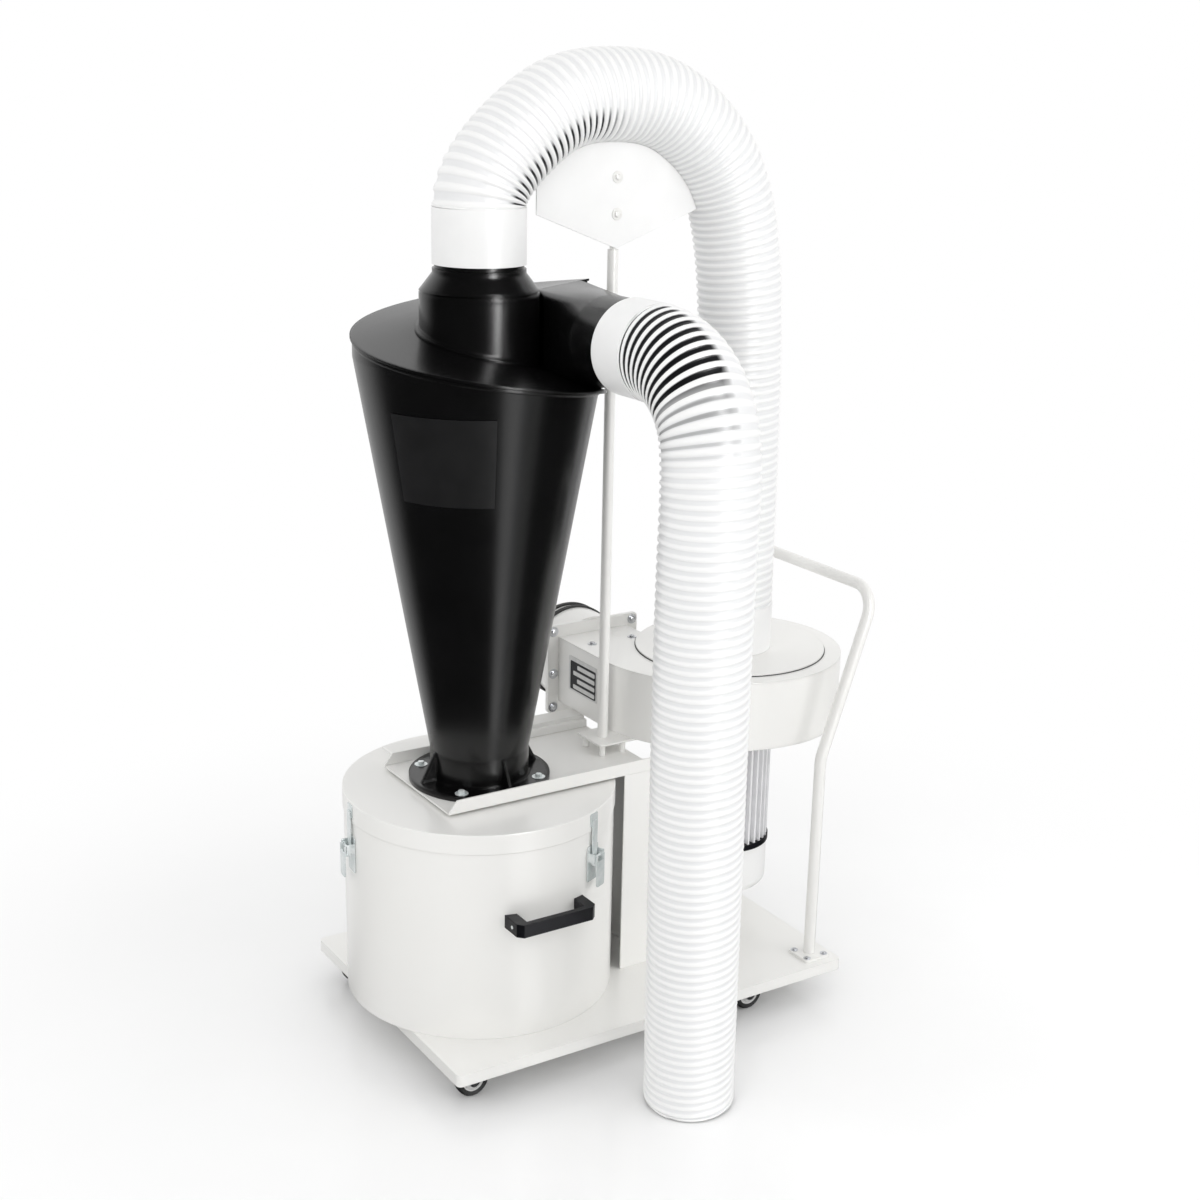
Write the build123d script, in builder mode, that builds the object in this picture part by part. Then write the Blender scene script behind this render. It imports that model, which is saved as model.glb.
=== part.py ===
# Mobile cyclone dust separator: a black tapered cyclone with a helical roof stands on a sheet-metal
# tray over a removable dust drum. A ribbed hose loops from the cyclone's outlet, over a fan-shaped
# saddle plate on a pole, down to the inlet of a vertical-shaft blower. A second hose hangs from the
# cyclone's tangential inlet. Everything is carried by a low base on four swivel castors.
# Units are millimetres. +Z is up, the floor is Z=0, the long side of the base runs along X and the
# drum handle faces -Y. The origin is on the floor under the middle of the whole unit.
import os
from math import acos, cos, degrees, radians, sin, tan

from build123d import *

os.makedirs("parts", exist_ok=True)

# Fits between pieces
seat_gap = 0.3
fit_gap = 0.2
axle_fit = 0.05

# Base: a sheet with its edges folded down
sheet = 2.5
base_length = 690.0
base_width = 476.0
base_lip = 18.0
base_corner_r = 8.0

# Castors
wheel_r = 25.0
wheel_width = 18.0
axle_r = 4.0
tyre_chamfer = 2.0
castor_height = 61.5
castor_trail = 18.0
castor_inset_left = 62.0
castor_inset_right = 135.0
castor_inset_side = 45.0
castor_plate_size = 50.0
castor_plate_t = 2.5
castor_plate_corner_r = 6.0
race_r = 17.0
race_h = 3.5
fork_t = 2.0
fork_gap = 1.5
fork_width = 16.0
swivel_gap = 0.4

# Dust drum, measured from the base's top; its centre is left and back of the base's middle
drum_left = 173.0
drum_back = 15.0
drum_r = 203.8
drum_wall_t = 1.5
drum_bottom_t = 2.0
drum_height = 323.0
lid_t = 2.0
lid_skirt = 30.0
lid_round = 1.4
dust_bore_r = 66.0
seal_t = 4.0
seal_width = 18.0

# Drum handle
handle_length = 130.0
handle_height = 20.0
handle_reach = 32.0
handle_bar_t = 9.0
handle_foot = 17.0
handle_nose = 8.0
handle_up = 178.0

# Toggle latches
latch_angles = (-65.0, 55.0, 175.0)
latch_names = ("front", "back", "side")
latch_drop = 69.0
latch_width = 27.0
latch_base_low = 40.0
latch_base_high = 16.0
latch_sheet = 1.5
latch_pin_r = 2.0
latch_pivot_out = 9.0
latch_ear = 14.0
latch_base_corner_r = 3.0
latch_corner_r = 2.0
lever_corner_r = 4.0
lever_width = 20.0
lever_length = 46.0
lever_start = 6.0
lever_out = 14.0
hook_width = 12.0
hook_t = 1.8
hook_tail = 10.0
strike_drop = 13.0
strike_height = 20.0
strike_width = 18.0
strike_t = 1.2

# Tray over the drum and the column that carries it
tray_reach = 107.0
tray_front_reach = 105.0
tray_back_reach = 107.0
tray_lip = 20.0
tray_lip_slant = 14.0
tray_back_flange = 32.0
column_width = 57.0
column_right = 251.0

# Cyclone, measured up from the tray
cyclone_wall = 3.0
flange_r = 106.0
flange_t = 8.0
flange_bolt_r = 92.0
flange_bolt_hole = 4.5
foot_r = 74.0
foot_height = 51.5
cone_height = 583.5
barrel_r = 177.0
gusset_count = 4
gusset_t = 5.0
gusset_height = 42.0
gusset_root = 2.0
gusset_set_in = 8.0
flange_trim = 0.5
roof_top = 94.0
roof_fall = 157.0
collar_top = 82.0
collar_fall = 112.0
roof_lap = 3.0
finder_r = 84.0
finder_depth = 70.0
brim_width = 6.0
brim_t = 3.0
groove_up = 88.0
groove_depth = 3.0
neck_r = 62.5
neck_up = 121.0
neck_ring = 6.0
neck_length = 71.0
inlet_r = 62.5
inlet_drop = 60.0
inlet_straight = 92.0
inlet_blend = 156.0
inlet_corner = 12.0
inlet_under = 12.0

# Hoses and cuffs
hose_r = 65.0
hose_wall = 2.5
cuff_t = 3.0
outlet_cuff_length = 77.0
inlet_cuff_length = 63.0
blower_cuff_length = 74.0
cuff_up = 6.0
inlet_cuff_lap = 33.0
hose_swing = 139.0
suction_end_z = 9.0

# Blower, its axis measured from the drum's
shaft_right = 460.0
scroll_height = 110.0
scroll_sheet = 2.0
scroll_r_front = 179.0
scroll_r_left = 217.0
scroll_r_back = 164.0
duct_width = 132.0
duct_reach = 173.0
eye_r = 80.0
inlet_plate_r = 152.0
inlet_plate_t = 3.0
spigot_height = 62.0
outlet_margin = 20.0
outlet_flange_t = 4.0
outlet_corner_r = 6.0
outlet_bolt_r = 3.3
collar_r = 78.0
collar_sheet = 2.0
collar_length = 92.0
collar_seat_t = 3.0
throat_step = 2.0
band_width = 7.0
band_t = 3.0
band_step = 17.0

# Impeller and motor on the blower's shaft
impeller_r = 128.0
impeller_h = 70.0
impeller_sheet = 2.5
impeller_clear = 8.0
blade_count = 10
blade_r = 95.0
blade_set_in = 1.0
hub_r = 22.0
shaft_r = 10.0
shaft_hole_gap = 2.0
motor_r = 66.0
motor_length = 211.0
fin_count = 36
fin_depth = 9.0
fin_t = 3.2
fin_root = 0.5
motor_ring_h = 9.0
motor_ring_out = 2.0
motor_cap_length = 78.0
motor_cap_round = 16.0

# Blower plate and pole
blower_plate_t = 3.0
blower_plate_width = 68.0
blower_plate_corner_r = 3.0
spacer_height = 18.5
spacer_r = 5.0
pole_right = 219.6
pole_r = 8.0
pole_wall = 1.5
pole_length = 751.0
post_r = 5.0
post_plug = 60.0
post_length = 134.0
saddle_t = 3.0
saddle_left = 133.0
saddle_right = 139.0
saddle_rise = 51.0
saddle_over = 2.0
saddle_top = 190.0

# Push handle
push_tube_r = 9.0
push_tube_wall = 1.5
push_inset = 35.0
push_leg = 331.0
push_rise = 260.0
push_lean = 90.0
push_half = 200.0
push_corner_r = 45.0
push_bend_r = 60.0
foot_size = 48.0
foot_t = 4.0
foot_corner_r = 4.0

# Places worked out from the sizes. The whole unit is centred over the origin: along X it reaches
# from the side latch to the blower's scroll, along Y from the hanging hose to the outlet collar.
latch_reach = drum_r + lever_out + latch_sheet
reach_left = drum_left + latch_reach
reach_right = shaft_right - drum_left + scroll_r_front
base_x = (reach_left - reach_right) / 2
drum_x = base_x - drum_left
shaft_x = drum_x + shaft_right
inlet_x = drum_x + barrel_r - inlet_r
reach_back = duct_reach + outlet_flange_t + collar_length
reach_front = inlet_blend + inlet_straight - inlet_cuff_lap + inlet_cuff_length + hose_swing + hose_r
drum_y = (reach_front - reach_back) / 2
base_y = drum_y - drum_back
shaft_y = drum_y

base_top = castor_height + sheet
lid_top_z = base_top + drum_height
tray_z = lid_top_z + seal_t
tray_top = tray_z + sheet
scroll_z = tray_top + spacer_height + blower_plate_t
scroll_top_z = scroll_z + scroll_height
cone_low_z = tray_top + foot_height
cone_top_z = cone_low_z + cone_height
roof_z = cone_top_z + roof_top
neck_z = cone_top_z + neck_up
inlet_z = roof_z - inlet_drop


def upright(x, y):
    """Drawing plane that stands along X at a given Y, its own y axis up."""
    return Plane(origin=(x, y, 0), x_dir=(1, 0, 0), z_dir=(0, -1, 0))


def tube_route(name, points):
    """Straight runs joined by tangent arcs, each arc as large as its two runs allow."""
    runs = [Vector(*end) - Vector(*start) for start, end in zip(points, points[1:])]
    room = [run.length for run in runs]
    room[0] *= 2
    room[-1] *= 2
    radii = []
    for corner in range(len(runs) - 1):
        half_turn = radians(runs[corner].get_angle(runs[corner + 1])) / 2
        radii.append(0.45 * min(room[corner], room[corner + 1]) / tan(half_turn))
    print(name, "bend radii", [round(r) for r in radii])
    return FilletPolyline(*points, radius=radii)


# Base tray
with BuildPart() as base_plate:
    with BuildSketch(Plane.XY.offset(base_top - base_lip)):
        with Locations((base_x, base_y)):
            RectangleRounded(base_length, base_width, base_corner_r)
    extrude(amount=base_lip)
    with BuildSketch(Plane.XY.offset(base_top - base_lip)):
        with Locations((base_x, base_y)):
            RectangleRounded(base_length - 2 * sheet, base_width - 2 * sheet, base_corner_r - sheet)
    extrude(amount=base_lip - sheet, mode=Mode.SUBTRACT)

# Castors: plates under the base, bent-strip forks that trail towards the drum end, solid wheels
stem_left = base_x - base_length / 2 + castor_inset_left
stem_right = base_x + base_length / 2 - castor_inset_right
stem_front = base_y - base_width / 2 + castor_inset_side
stem_back = base_y + base_width / 2 - castor_inset_side
stems = {
    "front_left": (stem_left, stem_front),
    "front_right": (stem_right, stem_front),
    "back_left": (stem_left, stem_back),
    "back_right": (stem_right, stem_back),
}
swivel_z = castor_height - castor_plate_t - swivel_gap
fork_half = wheel_width / 2 + fork_gap + fork_t

with BuildPart() as castor_plates:
    for stem in stems.values():
        with BuildSketch(Plane.XY.offset(castor_height - castor_plate_t)):
            with Locations(stem):
                RectangleRounded(castor_plate_size, castor_plate_size, castor_plate_corner_r)
        extrude(amount=castor_plate_t)

castor_forks = {}
castor_wheels = {}
for name, (stem_x, stem_y) in stems.items():
    wheel_x = stem_x - castor_trail
    with BuildPart() as fork:
        with BuildSketch(Plane.XY.offset(swivel_z - race_h)):
            with Locations((stem_x, stem_y)):
                Circle(race_r)
        extrude(amount=race_h)
        with BuildSketch(upright(0, stem_y + fork_half)):
            with BuildLine():
                Polyline(
                    (stem_x - race_r, swivel_z - race_h),
                    (stem_x - race_r, swivel_z - race_h + fork_t),
                    (stem_x + race_r, swivel_z - race_h + fork_t),
                    (stem_x + race_r, swivel_z - race_h),
                    (wheel_x + fork_width / 2, wheel_r),
                    (wheel_x - fork_width / 2, wheel_r),
                    close=True,
                )
            make_face()
            with Locations((wheel_x, wheel_r)):
                Circle(fork_width / 2)
        extrude(amount=fork_t)
        mirror(about=upright(0, stem_y))
        with BuildSketch(Plane.XY.offset(swivel_z - race_h)):
            with Locations((stem_x, stem_y)):
                Rectangle(2 * race_r, 2 * fork_half)
        extrude(amount=fork_t)
        with BuildSketch(upright(0, stem_y + fork_half)):
            with Locations((wheel_x, wheel_r)):
                Circle(axle_r - axle_fit)
        extrude(amount=2 * fork_half)
    castor_forks[name] = fork.part
    with BuildPart() as wheel:
        with BuildSketch(upright(0, stem_y)):
            with Locations((wheel_x, wheel_r)):
                Circle(wheel_r)
                Circle(axle_r + axle_fit, mode=Mode.SUBTRACT)
        extrude(amount=wheel_width / 2, both=True)
        tread_edges = wheel.edges().filter_by(GeomType.CIRCLE).group_by(SortBy.RADIUS)[-1]
        chamfer(tread_edges, tyre_chamfer)
    castor_wheels[name] = wheel.part

# Dust drum: plain wall, flat bottom and a lid whose skirt slips over the wall
lid_r = drum_r + fit_gap + drum_wall_t
with BuildPart() as drum_wall:
    with BuildSketch(Plane.XY.offset(base_top)):
        with Locations((drum_x, drum_y)):
            Circle(drum_r)
            Circle(drum_r - drum_wall_t, mode=Mode.SUBTRACT)
    extrude(amount=drum_height - lid_t)

with BuildPart() as drum_bottom:
    with BuildSketch(Plane.XY.offset(base_top)):
        with Locations((drum_x, drum_y)):
            Circle(drum_r - drum_wall_t)
    extrude(amount=drum_bottom_t)

with BuildPart() as drum_lid:
    with BuildSketch(Plane.XY.offset(lid_top_z - lid_skirt)):
        with Locations((drum_x, drum_y)):
            Circle(lid_r)
    extrude(amount=lid_skirt)
    with BuildSketch(Plane.XY.offset(lid_top_z - lid_skirt)):
        with Locations((drum_x, drum_y)):
            Circle(lid_r - drum_wall_t)
    extrude(amount=lid_skirt - lid_t, mode=Mode.SUBTRACT)
    with BuildSketch(Plane.XY.offset(lid_top_z)):
        with Locations((drum_x, drum_y)):
            Circle(dust_bore_r)
    extrude(amount=-lid_t, mode=Mode.SUBTRACT)
    rim_edges = drum_lid.edges().filter_by(GeomType.CIRCLE).group_by(Axis.Z)[-1]
    fillet(rim_edges.group_by(SortBy.RADIUS)[-1], lid_round)

# Soft ring that seals the lid's dust hole against the tray
with BuildPart() as dust_seal:
    with BuildSketch(Plane.XY.offset(lid_top_z)):
        with Locations((drum_x, drum_y)):
            Circle(dust_bore_r + seal_width)
            Circle(dust_bore_r, mode=Mode.SUBTRACT)
    extrude(amount=seal_t)

# Bridge handle moulded in one piece, bolted to the drum's front
handle_front = drum_y - drum_r - handle_reach
handle_half = handle_length / 2
with BuildPart() as drum_handle:
    with BuildSketch(Plane.XY.offset(base_top + handle_up)):
        with BuildLine():
            Polyline(
                (drum_x - handle_half, drum_y - drum_r + handle_foot),
                (drum_x - handle_half, handle_front + handle_nose),
                (drum_x - handle_half + handle_nose, handle_front),
                (drum_x + handle_half - handle_nose, handle_front),
                (drum_x + handle_half, handle_front + handle_nose),
                (drum_x + handle_half, drum_y - drum_r + handle_foot),
                (drum_x + handle_half - handle_foot, drum_y - drum_r + handle_foot),
                (drum_x + handle_half - handle_foot, handle_front + handle_bar_t),
                (drum_x - handle_half + handle_foot, handle_front + handle_bar_t),
                (drum_x - handle_half + handle_foot, drum_y - drum_r + handle_foot),
                close=True,
            )
        make_face()
        with Locations((drum_x, drum_y)):
            Circle(drum_r, mode=Mode.SUBTRACT)
    extrude(amount=handle_height)

# Toggle latches: an eared base and its pin on the drum, a hook over the strike on the lid, and a
# lever that swings out and up about the pin
hook_out = lid_r - drum_r + strike_t + seat_gap
latch_z = lid_top_z - latch_drop
strike_up = latch_drop - strike_drop
latch_planes = []
pin_planes = []
for angle in latch_angles:
    out = Vector(cos(radians(angle)), sin(radians(angle)), 0)
    foot = Vector(drum_x, drum_y, latch_z) + out * drum_r
    plane = Plane(origin=foot, x_dir=(0, 0, 1), z_dir=out)
    pin_start = foot + out * latch_pivot_out - plane.y_dir * (latch_width / 2)
    latch_planes.append(plane)
    pin_planes.append(Plane(origin=pin_start, x_dir=(0, 0, 1), z_dir=plane.y_dir))

with BuildPart() as latch_bases:
    for plane, pin_plane in zip(latch_planes, pin_planes):
        with BuildSketch(plane):
            with Locations(((latch_base_high - latch_base_low) / 2, 0)):
                RectangleRounded(latch_base_high + latch_base_low, latch_width, latch_base_corner_r)
        extrude(amount=latch_sheet)
        with BuildSketch(plane):
            with GridLocations(0, latch_width - latch_sheet, 1, 2):
                Rectangle(latch_ear, latch_sheet)
        extrude(amount=latch_pivot_out + latch_pin_r + latch_sheet)
        with BuildSketch(pin_plane):
            Circle(latch_pin_r)
        extrude(amount=latch_width)

with BuildPart() as latch_hooks:
    for plane in latch_planes:
        with BuildSketch(plane.offset(hook_out)):
            with Locations(((strike_up - hook_tail) / 2, 0)):
                RectangleRounded(strike_up + hook_tail, hook_width, latch_corner_r)
        extrude(amount=hook_t)

with BuildPart() as latch_strikes:
    for plane in latch_planes:
        with BuildSketch(plane.offset(lid_r - drum_r)):
            with Locations((strike_up, 0)):
                RectangleRounded(strike_height, strike_width, latch_corner_r)
        extrude(amount=strike_t)

latch_levers = {}
for name, plane, pin_plane in zip(latch_names, latch_planes, pin_planes):
    with BuildPart() as lever:
        with BuildSketch(plane.offset(lever_out)):
            with Locations((-(lever_start + lever_length) / 2, 0)):
                RectangleRounded(lever_length - lever_start, lever_width, lever_corner_r)
        extrude(amount=latch_sheet)
        cheek_top = latch_pin_r + latch_sheet
        cheek_length = cheek_top + 2 * lever_start
        with BuildSketch(plane.offset(latch_pivot_out - cheek_top)):
            with Locations((cheek_top - cheek_length / 2, 0)):
                with GridLocations(0, lever_width - latch_sheet, 1, 2):
                    Rectangle(cheek_length, latch_sheet)
        extrude(amount=lever_out + latch_sheet - latch_pivot_out + cheek_top)
        with BuildSketch(pin_plane):
            Circle(latch_pin_r + axle_fit)
        extrude(amount=latch_width, mode=Mode.SUBTRACT)
    latch_levers[name] = lever.part

# Column: a folded channel, open towards the drum, which nests a little way into it
tray_left = drum_x - tray_reach
tray_right = drum_x + column_right
tray_front = drum_y - tray_front_reach
tray_back = drum_y + tray_back_reach
tray_mid = (tray_front + tray_back) / 2
tray_depth = tray_back - tray_front
with BuildPart() as column:
    with BuildSketch(Plane.XY.offset(base_top)):
        with Locations((tray_right - column_width / 2, tray_mid)):
            Rectangle(column_width, tray_depth)
        with Locations((tray_right - sheet - column_width / 2, tray_mid)):
            Rectangle(column_width, tray_depth - 2 * sheet, mode=Mode.SUBTRACT)
    extrude(amount=tray_z - base_top)

# Tray: its front and back edges are folded up and the back one is turned out into a narrow shelf
lip_z = tray_z + tray_lip
with BuildPart() as drum_tray:
    with BuildSketch(Plane.YZ.offset(tray_left)):
        with BuildLine():
            Polyline(
                (tray_front, tray_z),
                (tray_back, tray_z),
                (tray_back, lip_z - sheet),
                (tray_back + tray_back_flange, lip_z - sheet),
                (tray_back + tray_back_flange, lip_z),
                (tray_back - sheet, lip_z),
                (tray_back - sheet, tray_top),
                (tray_front + sheet, tray_top),
                (tray_front + sheet, lip_z),
                (tray_front, lip_z),
                close=True,
            )
        make_face()
    extrude(amount=tray_right - tray_left)
    with BuildSketch(Plane.XY.offset(tray_z)):
        with Locations((drum_x, drum_y)):
            Circle(dust_bore_r)
    extrude(amount=sheet, mode=Mode.SUBTRACT)
    with BuildSketch(upright(0, tray_back + tray_back_flange)):
        with BuildLine():
            slant_end = (tray_left + tray_lip_slant, lip_z)
            Polyline((tray_left, tray_top), slant_end, (tray_left, lip_z), close=True)
        make_face()
    extrude(amount=tray_depth + tray_back_flange, mode=Mode.SUBTRACT)

# Plate for the pole and the blower, raised on spacers over the tray's right end
plate_left = tray_right - column_width
plate_right = shaft_x - motor_r - fin_depth - spacer_r
with BuildPart() as blower_plate:
    with BuildSketch(Plane.XY.offset(scroll_z - blower_plate_t)):
        with Locations(((plate_left + plate_right) / 2, drum_y)):
            RectangleRounded(plate_right - plate_left, blower_plate_width, blower_plate_corner_r)
    extrude(amount=blower_plate_t)
    with BuildSketch(Plane.XY.offset(tray_top)):
        with Locations(((plate_left + tray_right) / 2, drum_y)):
            with GridLocations(column_width - 4 * spacer_r, blower_plate_width - 4 * spacer_r, 2, 2):
                Circle(spacer_r)
    extrude(amount=spacer_height)

pole_x = drum_x + pole_right
pole_top_z = scroll_z + pole_length
with BuildPart() as support_pole:
    with BuildSketch(Plane.XY.offset(scroll_z)):
        with Locations((pole_x, drum_y)):
            Circle(pole_r)
            Circle(pole_r - pole_wall, mode=Mode.SUBTRACT)
    extrude(amount=pole_length)

with BuildPart() as pole_post:
    with BuildSketch(Plane.XY.offset(pole_top_z - post_plug)):
        with Locations((pole_x, drum_y)):
            Circle(pole_r - pole_wall - axle_fit)
    extrude(amount=post_plug)
    with BuildSketch(Plane.XY.offset(pole_top_z)):
        with Locations((pole_x, drum_y)):
            Circle(post_r)
    extrude(amount=post_length)

# Cyclone. Its roof is a ruled surface between two helices: the outer edge falls faster than the
# inner one, from the top of the tangential inlet round to the inlet's own floor.
cone_slope = (barrel_r - foot_r) / cone_height


def helix_face(lift, inner_r, outer_r, turns=1.0, low_turn=0.0):
    """Roof surface, raised by lift, carried on past its two helices to the radii asked for.

    It covers the given share of a turn, counted upwards from low_turn above the roof's lowest end.
    """
    fall_slope = (roof_fall - collar_fall) / (barrel_r - finder_r)
    top_slope = (roof_top - collar_top) / (barrel_r - finder_r)
    edges = []
    for r in (inner_r, outer_r):
        fall = collar_fall + fall_slope * (r - finder_r)
        top = cone_top_z + collar_top + top_slope * (r - finder_r) + lift
        low = (drum_x, drum_y, top - (1 - low_turn) * fall)
        edge = Helix(fall, turns * fall, r, center=low, lefthand=True, mode=Mode.PRIVATE)
        edges.append(edge.edges()[0])
    face = Face.make_surface_from_curves(edges[0], edges[1])
    return face.rotate(Axis((drum_x, drum_y, 0), (0, 0, 1)), -360.0 * low_turn)


clear_height = Vector(0, 0, roof_fall + roof_top)
roof_underside = helix_face(fit_gap, finder_r + fit_gap, barrel_r + roof_lap)
roof_solid = Solid.extrude(roof_underside, Vector(0, 0, cyclone_wall))

with BuildPart() as cyclone_cone:
    with BuildSketch(upright(drum_x, drum_y)):
        with BuildLine():
            Polyline(
                (foot_r - cyclone_wall, tray_top),
                (foot_r, tray_top),
                (foot_r, cone_low_z),
                (barrel_r, cone_top_z),
                (barrel_r, roof_z + cyclone_wall),
                (barrel_r - cyclone_wall, roof_z + cyclone_wall),
                (barrel_r - cyclone_wall, cone_top_z),
                (foot_r - cyclone_wall, cone_low_z),
                close=True,
            )
        make_face()
    revolve(axis=Axis((drum_x, drum_y, 0), (0, 0, 1)))
    with BuildSketch(Plane.XY.offset(tray_top)):
        with Locations((drum_x, drum_y)):
            Circle(flange_r)
            Circle(foot_r - cyclone_wall, mode=Mode.SUBTRACT)
            with PolarLocations(flange_bolt_r, gusset_count, start_angle=180.0 / gusset_count):
                Circle(flange_bolt_hole, mode=Mode.SUBTRACT)
        with Locations((drum_x, tray_mid)):
            Rectangle(2 * flange_r, tray_depth - 2 * (sheet + flange_trim), mode=Mode.INTERSECT)
    extrude(amount=flange_t)
    for turn in range(gusset_count):
        angle = 360.0 * turn / gusset_count
        out = Vector(cos(radians(angle)), sin(radians(angle)), 0)
        side = Vector(-out.Y, out.X, 0)
        start = Vector(drum_x, drum_y, tray_top + flange_t) - side * (gusset_t / 2)
        with BuildSketch(Plane(origin=start, x_dir=out, z_dir=side)):
            with BuildLine():
                Polyline(
                    (foot_r - cyclone_wall / 2, 0),
                    (foot_r - cyclone_wall / 2, -gusset_height),
                    (foot_r + gusset_root, -gusset_height),
                    (flange_r - gusset_set_in, 0),
                    close=True,
                )
            make_face()
        extrude(amount=gusset_t)
    for low_turn in (0.0, 0.5):
        half_roof = helix_face(0.0, finder_r / 2, 2 * barrel_r, 0.5, low_turn)
        add(Solid.extrude(half_roof, clear_height), mode=Mode.SUBTRACT)

with BuildPart() as cyclone_roof:
    add(roof_solid)

with BuildPart() as cyclone_outlet:
    groove_z = cone_top_z + groove_up
    finder_low_z = cone_top_z + collar_top - collar_fall - finder_depth
    with BuildSketch(upright(drum_x, drum_y)):
        with BuildLine():
            Polyline(
                (finder_r, finder_low_z),
                (finder_r, groove_z),
                (finder_r - groove_depth, groove_z + groove_depth / 2),
                (finder_r, groove_z + groove_depth),
                (neck_r + cuff_t, neck_z - neck_ring),
                (neck_r + cuff_t, neck_z),
                (neck_r, neck_z),
                (neck_r, neck_z + neck_length),
                (neck_r - cyclone_wall, neck_z + neck_length),
                (neck_r - cyclone_wall, neck_z - neck_ring),
                (finder_r - cyclone_wall - groove_depth, groove_z + groove_depth),
                (finder_r - cyclone_wall - groove_depth, groove_z - groove_depth),
                (finder_r - cyclone_wall, groove_z - 2 * groove_depth),
                (finder_r - cyclone_wall, finder_low_z),
                close=True,
            )
        make_face()
    revolve(axis=Axis((drum_x, drum_y, 0), (0, 0, 1)))
    brim_face = helix_face(2 * fit_gap + cyclone_wall, finder_r - cyclone_wall / 2, finder_r + brim_width)
    add(Solid.extrude(brim_face, Vector(0, 0, brim_t)))

# Tangential inlet: round at the mouth, squared where it opens under the start of the roof
box_in = drum_x + finder_r + fit_gap
box_out = drum_x + barrel_r
box_tops = (cone_top_z + collar_top + fit_gap + cyclone_wall, roof_z + fit_gap + cyclone_wall)
box_floors = (cone_top_z + collar_top - collar_fall - inlet_under, roof_z - roof_fall - inlet_under)
mouth_y = drum_y - inlet_blend - inlet_straight
blend_plane = Plane(origin=(0, drum_y - inlet_blend, 0), x_dir=(1, 0, 0), z_dir=(0, -1, 0))
box_plane = Plane(origin=(0, drum_y - seat_gap, 0), x_dir=(1, 0, 0), z_dir=(0, -1, 0))


def box_outline(inset):
    """Squared end of the inlet, drawn inside the wall by inset."""
    with BuildSketch(box_plane, mode=Mode.PRIVATE) as outline:
        with BuildLine():
            Polyline(
                (box_in, box_floors[0]),
                (box_out, box_floors[1]),
                (box_out, box_tops[1]),
                (box_in, box_tops[0]),
                close=True,
            )
        make_face()
        fillet(outline.vertices(), inlet_corner)
        if inset:
            offset(amount=-inset, mode=Mode.REPLACE)
    return outline.sketch


with BuildPart() as cyclone_inlet:
    for inset, mode in ((0.0, Mode.ADD), (cyclone_wall, Mode.SUBTRACT)):
        with BuildSketch(blend_plane) as round_end:
            with Locations((inlet_x, inlet_z)):
                Circle(inlet_r - inset)
        extrude(amount=inlet_straight, mode=mode)
        loft([round_end.sketch.faces()[0], box_outline(inset).faces()[0]], mode=mode)
    with BuildSketch(Plane.XY.offset(finder_low_z)):
        with Locations((drum_x, drum_y)):
            Circle(finder_r + brim_width + fit_gap)
    extrude(amount=neck_z - finder_low_z, mode=Mode.SUBTRACT)
    roof_top_face = helix_face(2 * fit_gap + cyclone_wall, finder_r / 2, barrel_r + roof_lap + fit_gap)
    below_roof = Solid.extrude(roof_top_face, -clear_height)
    add(below_roof, mode=Mode.SUBTRACT)

# Cuffs: plain sleeves over the spigots; each hose end meets one face to face
outlet_cuff_z = neck_z + cuff_up
hose_start_z = outlet_cuff_z + outlet_cuff_length
blower_cuff_z = scroll_top_z + inlet_plate_t + fit_gap
hose_end_z = blower_cuff_z + blower_cuff_length
cuff_back_y = mouth_y + inlet_cuff_lap
cuff_front_y = cuff_back_y - inlet_cuff_length

with BuildPart() as outlet_cuff:
    with BuildSketch(Plane.XY.offset(outlet_cuff_z)):
        with Locations((drum_x, drum_y)):
            Circle(neck_r + fit_gap + cuff_t)
            Circle(neck_r + fit_gap, mode=Mode.SUBTRACT)
    extrude(amount=outlet_cuff_length)

with BuildPart() as blower_cuff:
    with BuildSketch(Plane.XY.offset(blower_cuff_z)):
        with Locations((shaft_x, shaft_y)):
            Circle(neck_r + fit_gap + cuff_t)
            Circle(neck_r + fit_gap, mode=Mode.SUBTRACT)
    extrude(amount=blower_cuff_length)

with BuildPart() as inlet_cuff:
    with BuildSketch(upright(0, cuff_back_y)):
        with Locations((inlet_x, inlet_z)):
            Circle(inlet_r + fit_gap + cuff_t)
            Circle(inlet_r + fit_gap, mode=Mode.SUBTRACT)
    extrude(amount=inlet_cuff_length)

# Loop hose, in the upright plane through the cyclone's and the blower's axes
loop_points = [
    (drum_x, drum_y, hose_start_z),
    (drum_x, drum_y, hose_start_z + 36.0),
    (drum_x + 94.0, drum_y, hose_start_z + 122.0),
    (drum_x + 167.0, drum_y, hose_start_z + 150.0),
    (drum_x + 293.0, drum_y, hose_start_z + 146.0),
    (shaft_x - 64.0, drum_y, hose_start_z + 69.0),
    (shaft_x - 15.0, drum_y, hose_start_z - 54.0),
    (shaft_x, drum_y, hose_start_z - 291.0),
    (shaft_x, drum_y, hose_end_z),
]
with BuildPart() as loop_hose:
    with BuildLine() as loop_path:
        tube_route("loop hose", loop_points)
    with BuildSketch(Plane(origin=loop_points[0], z_dir=(0, 0, 1))):
        Circle(hose_r)
        Circle(hose_r - hose_wall, mode=Mode.SUBTRACT)
    sweep(path=loop_path.wires()[0])

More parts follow.
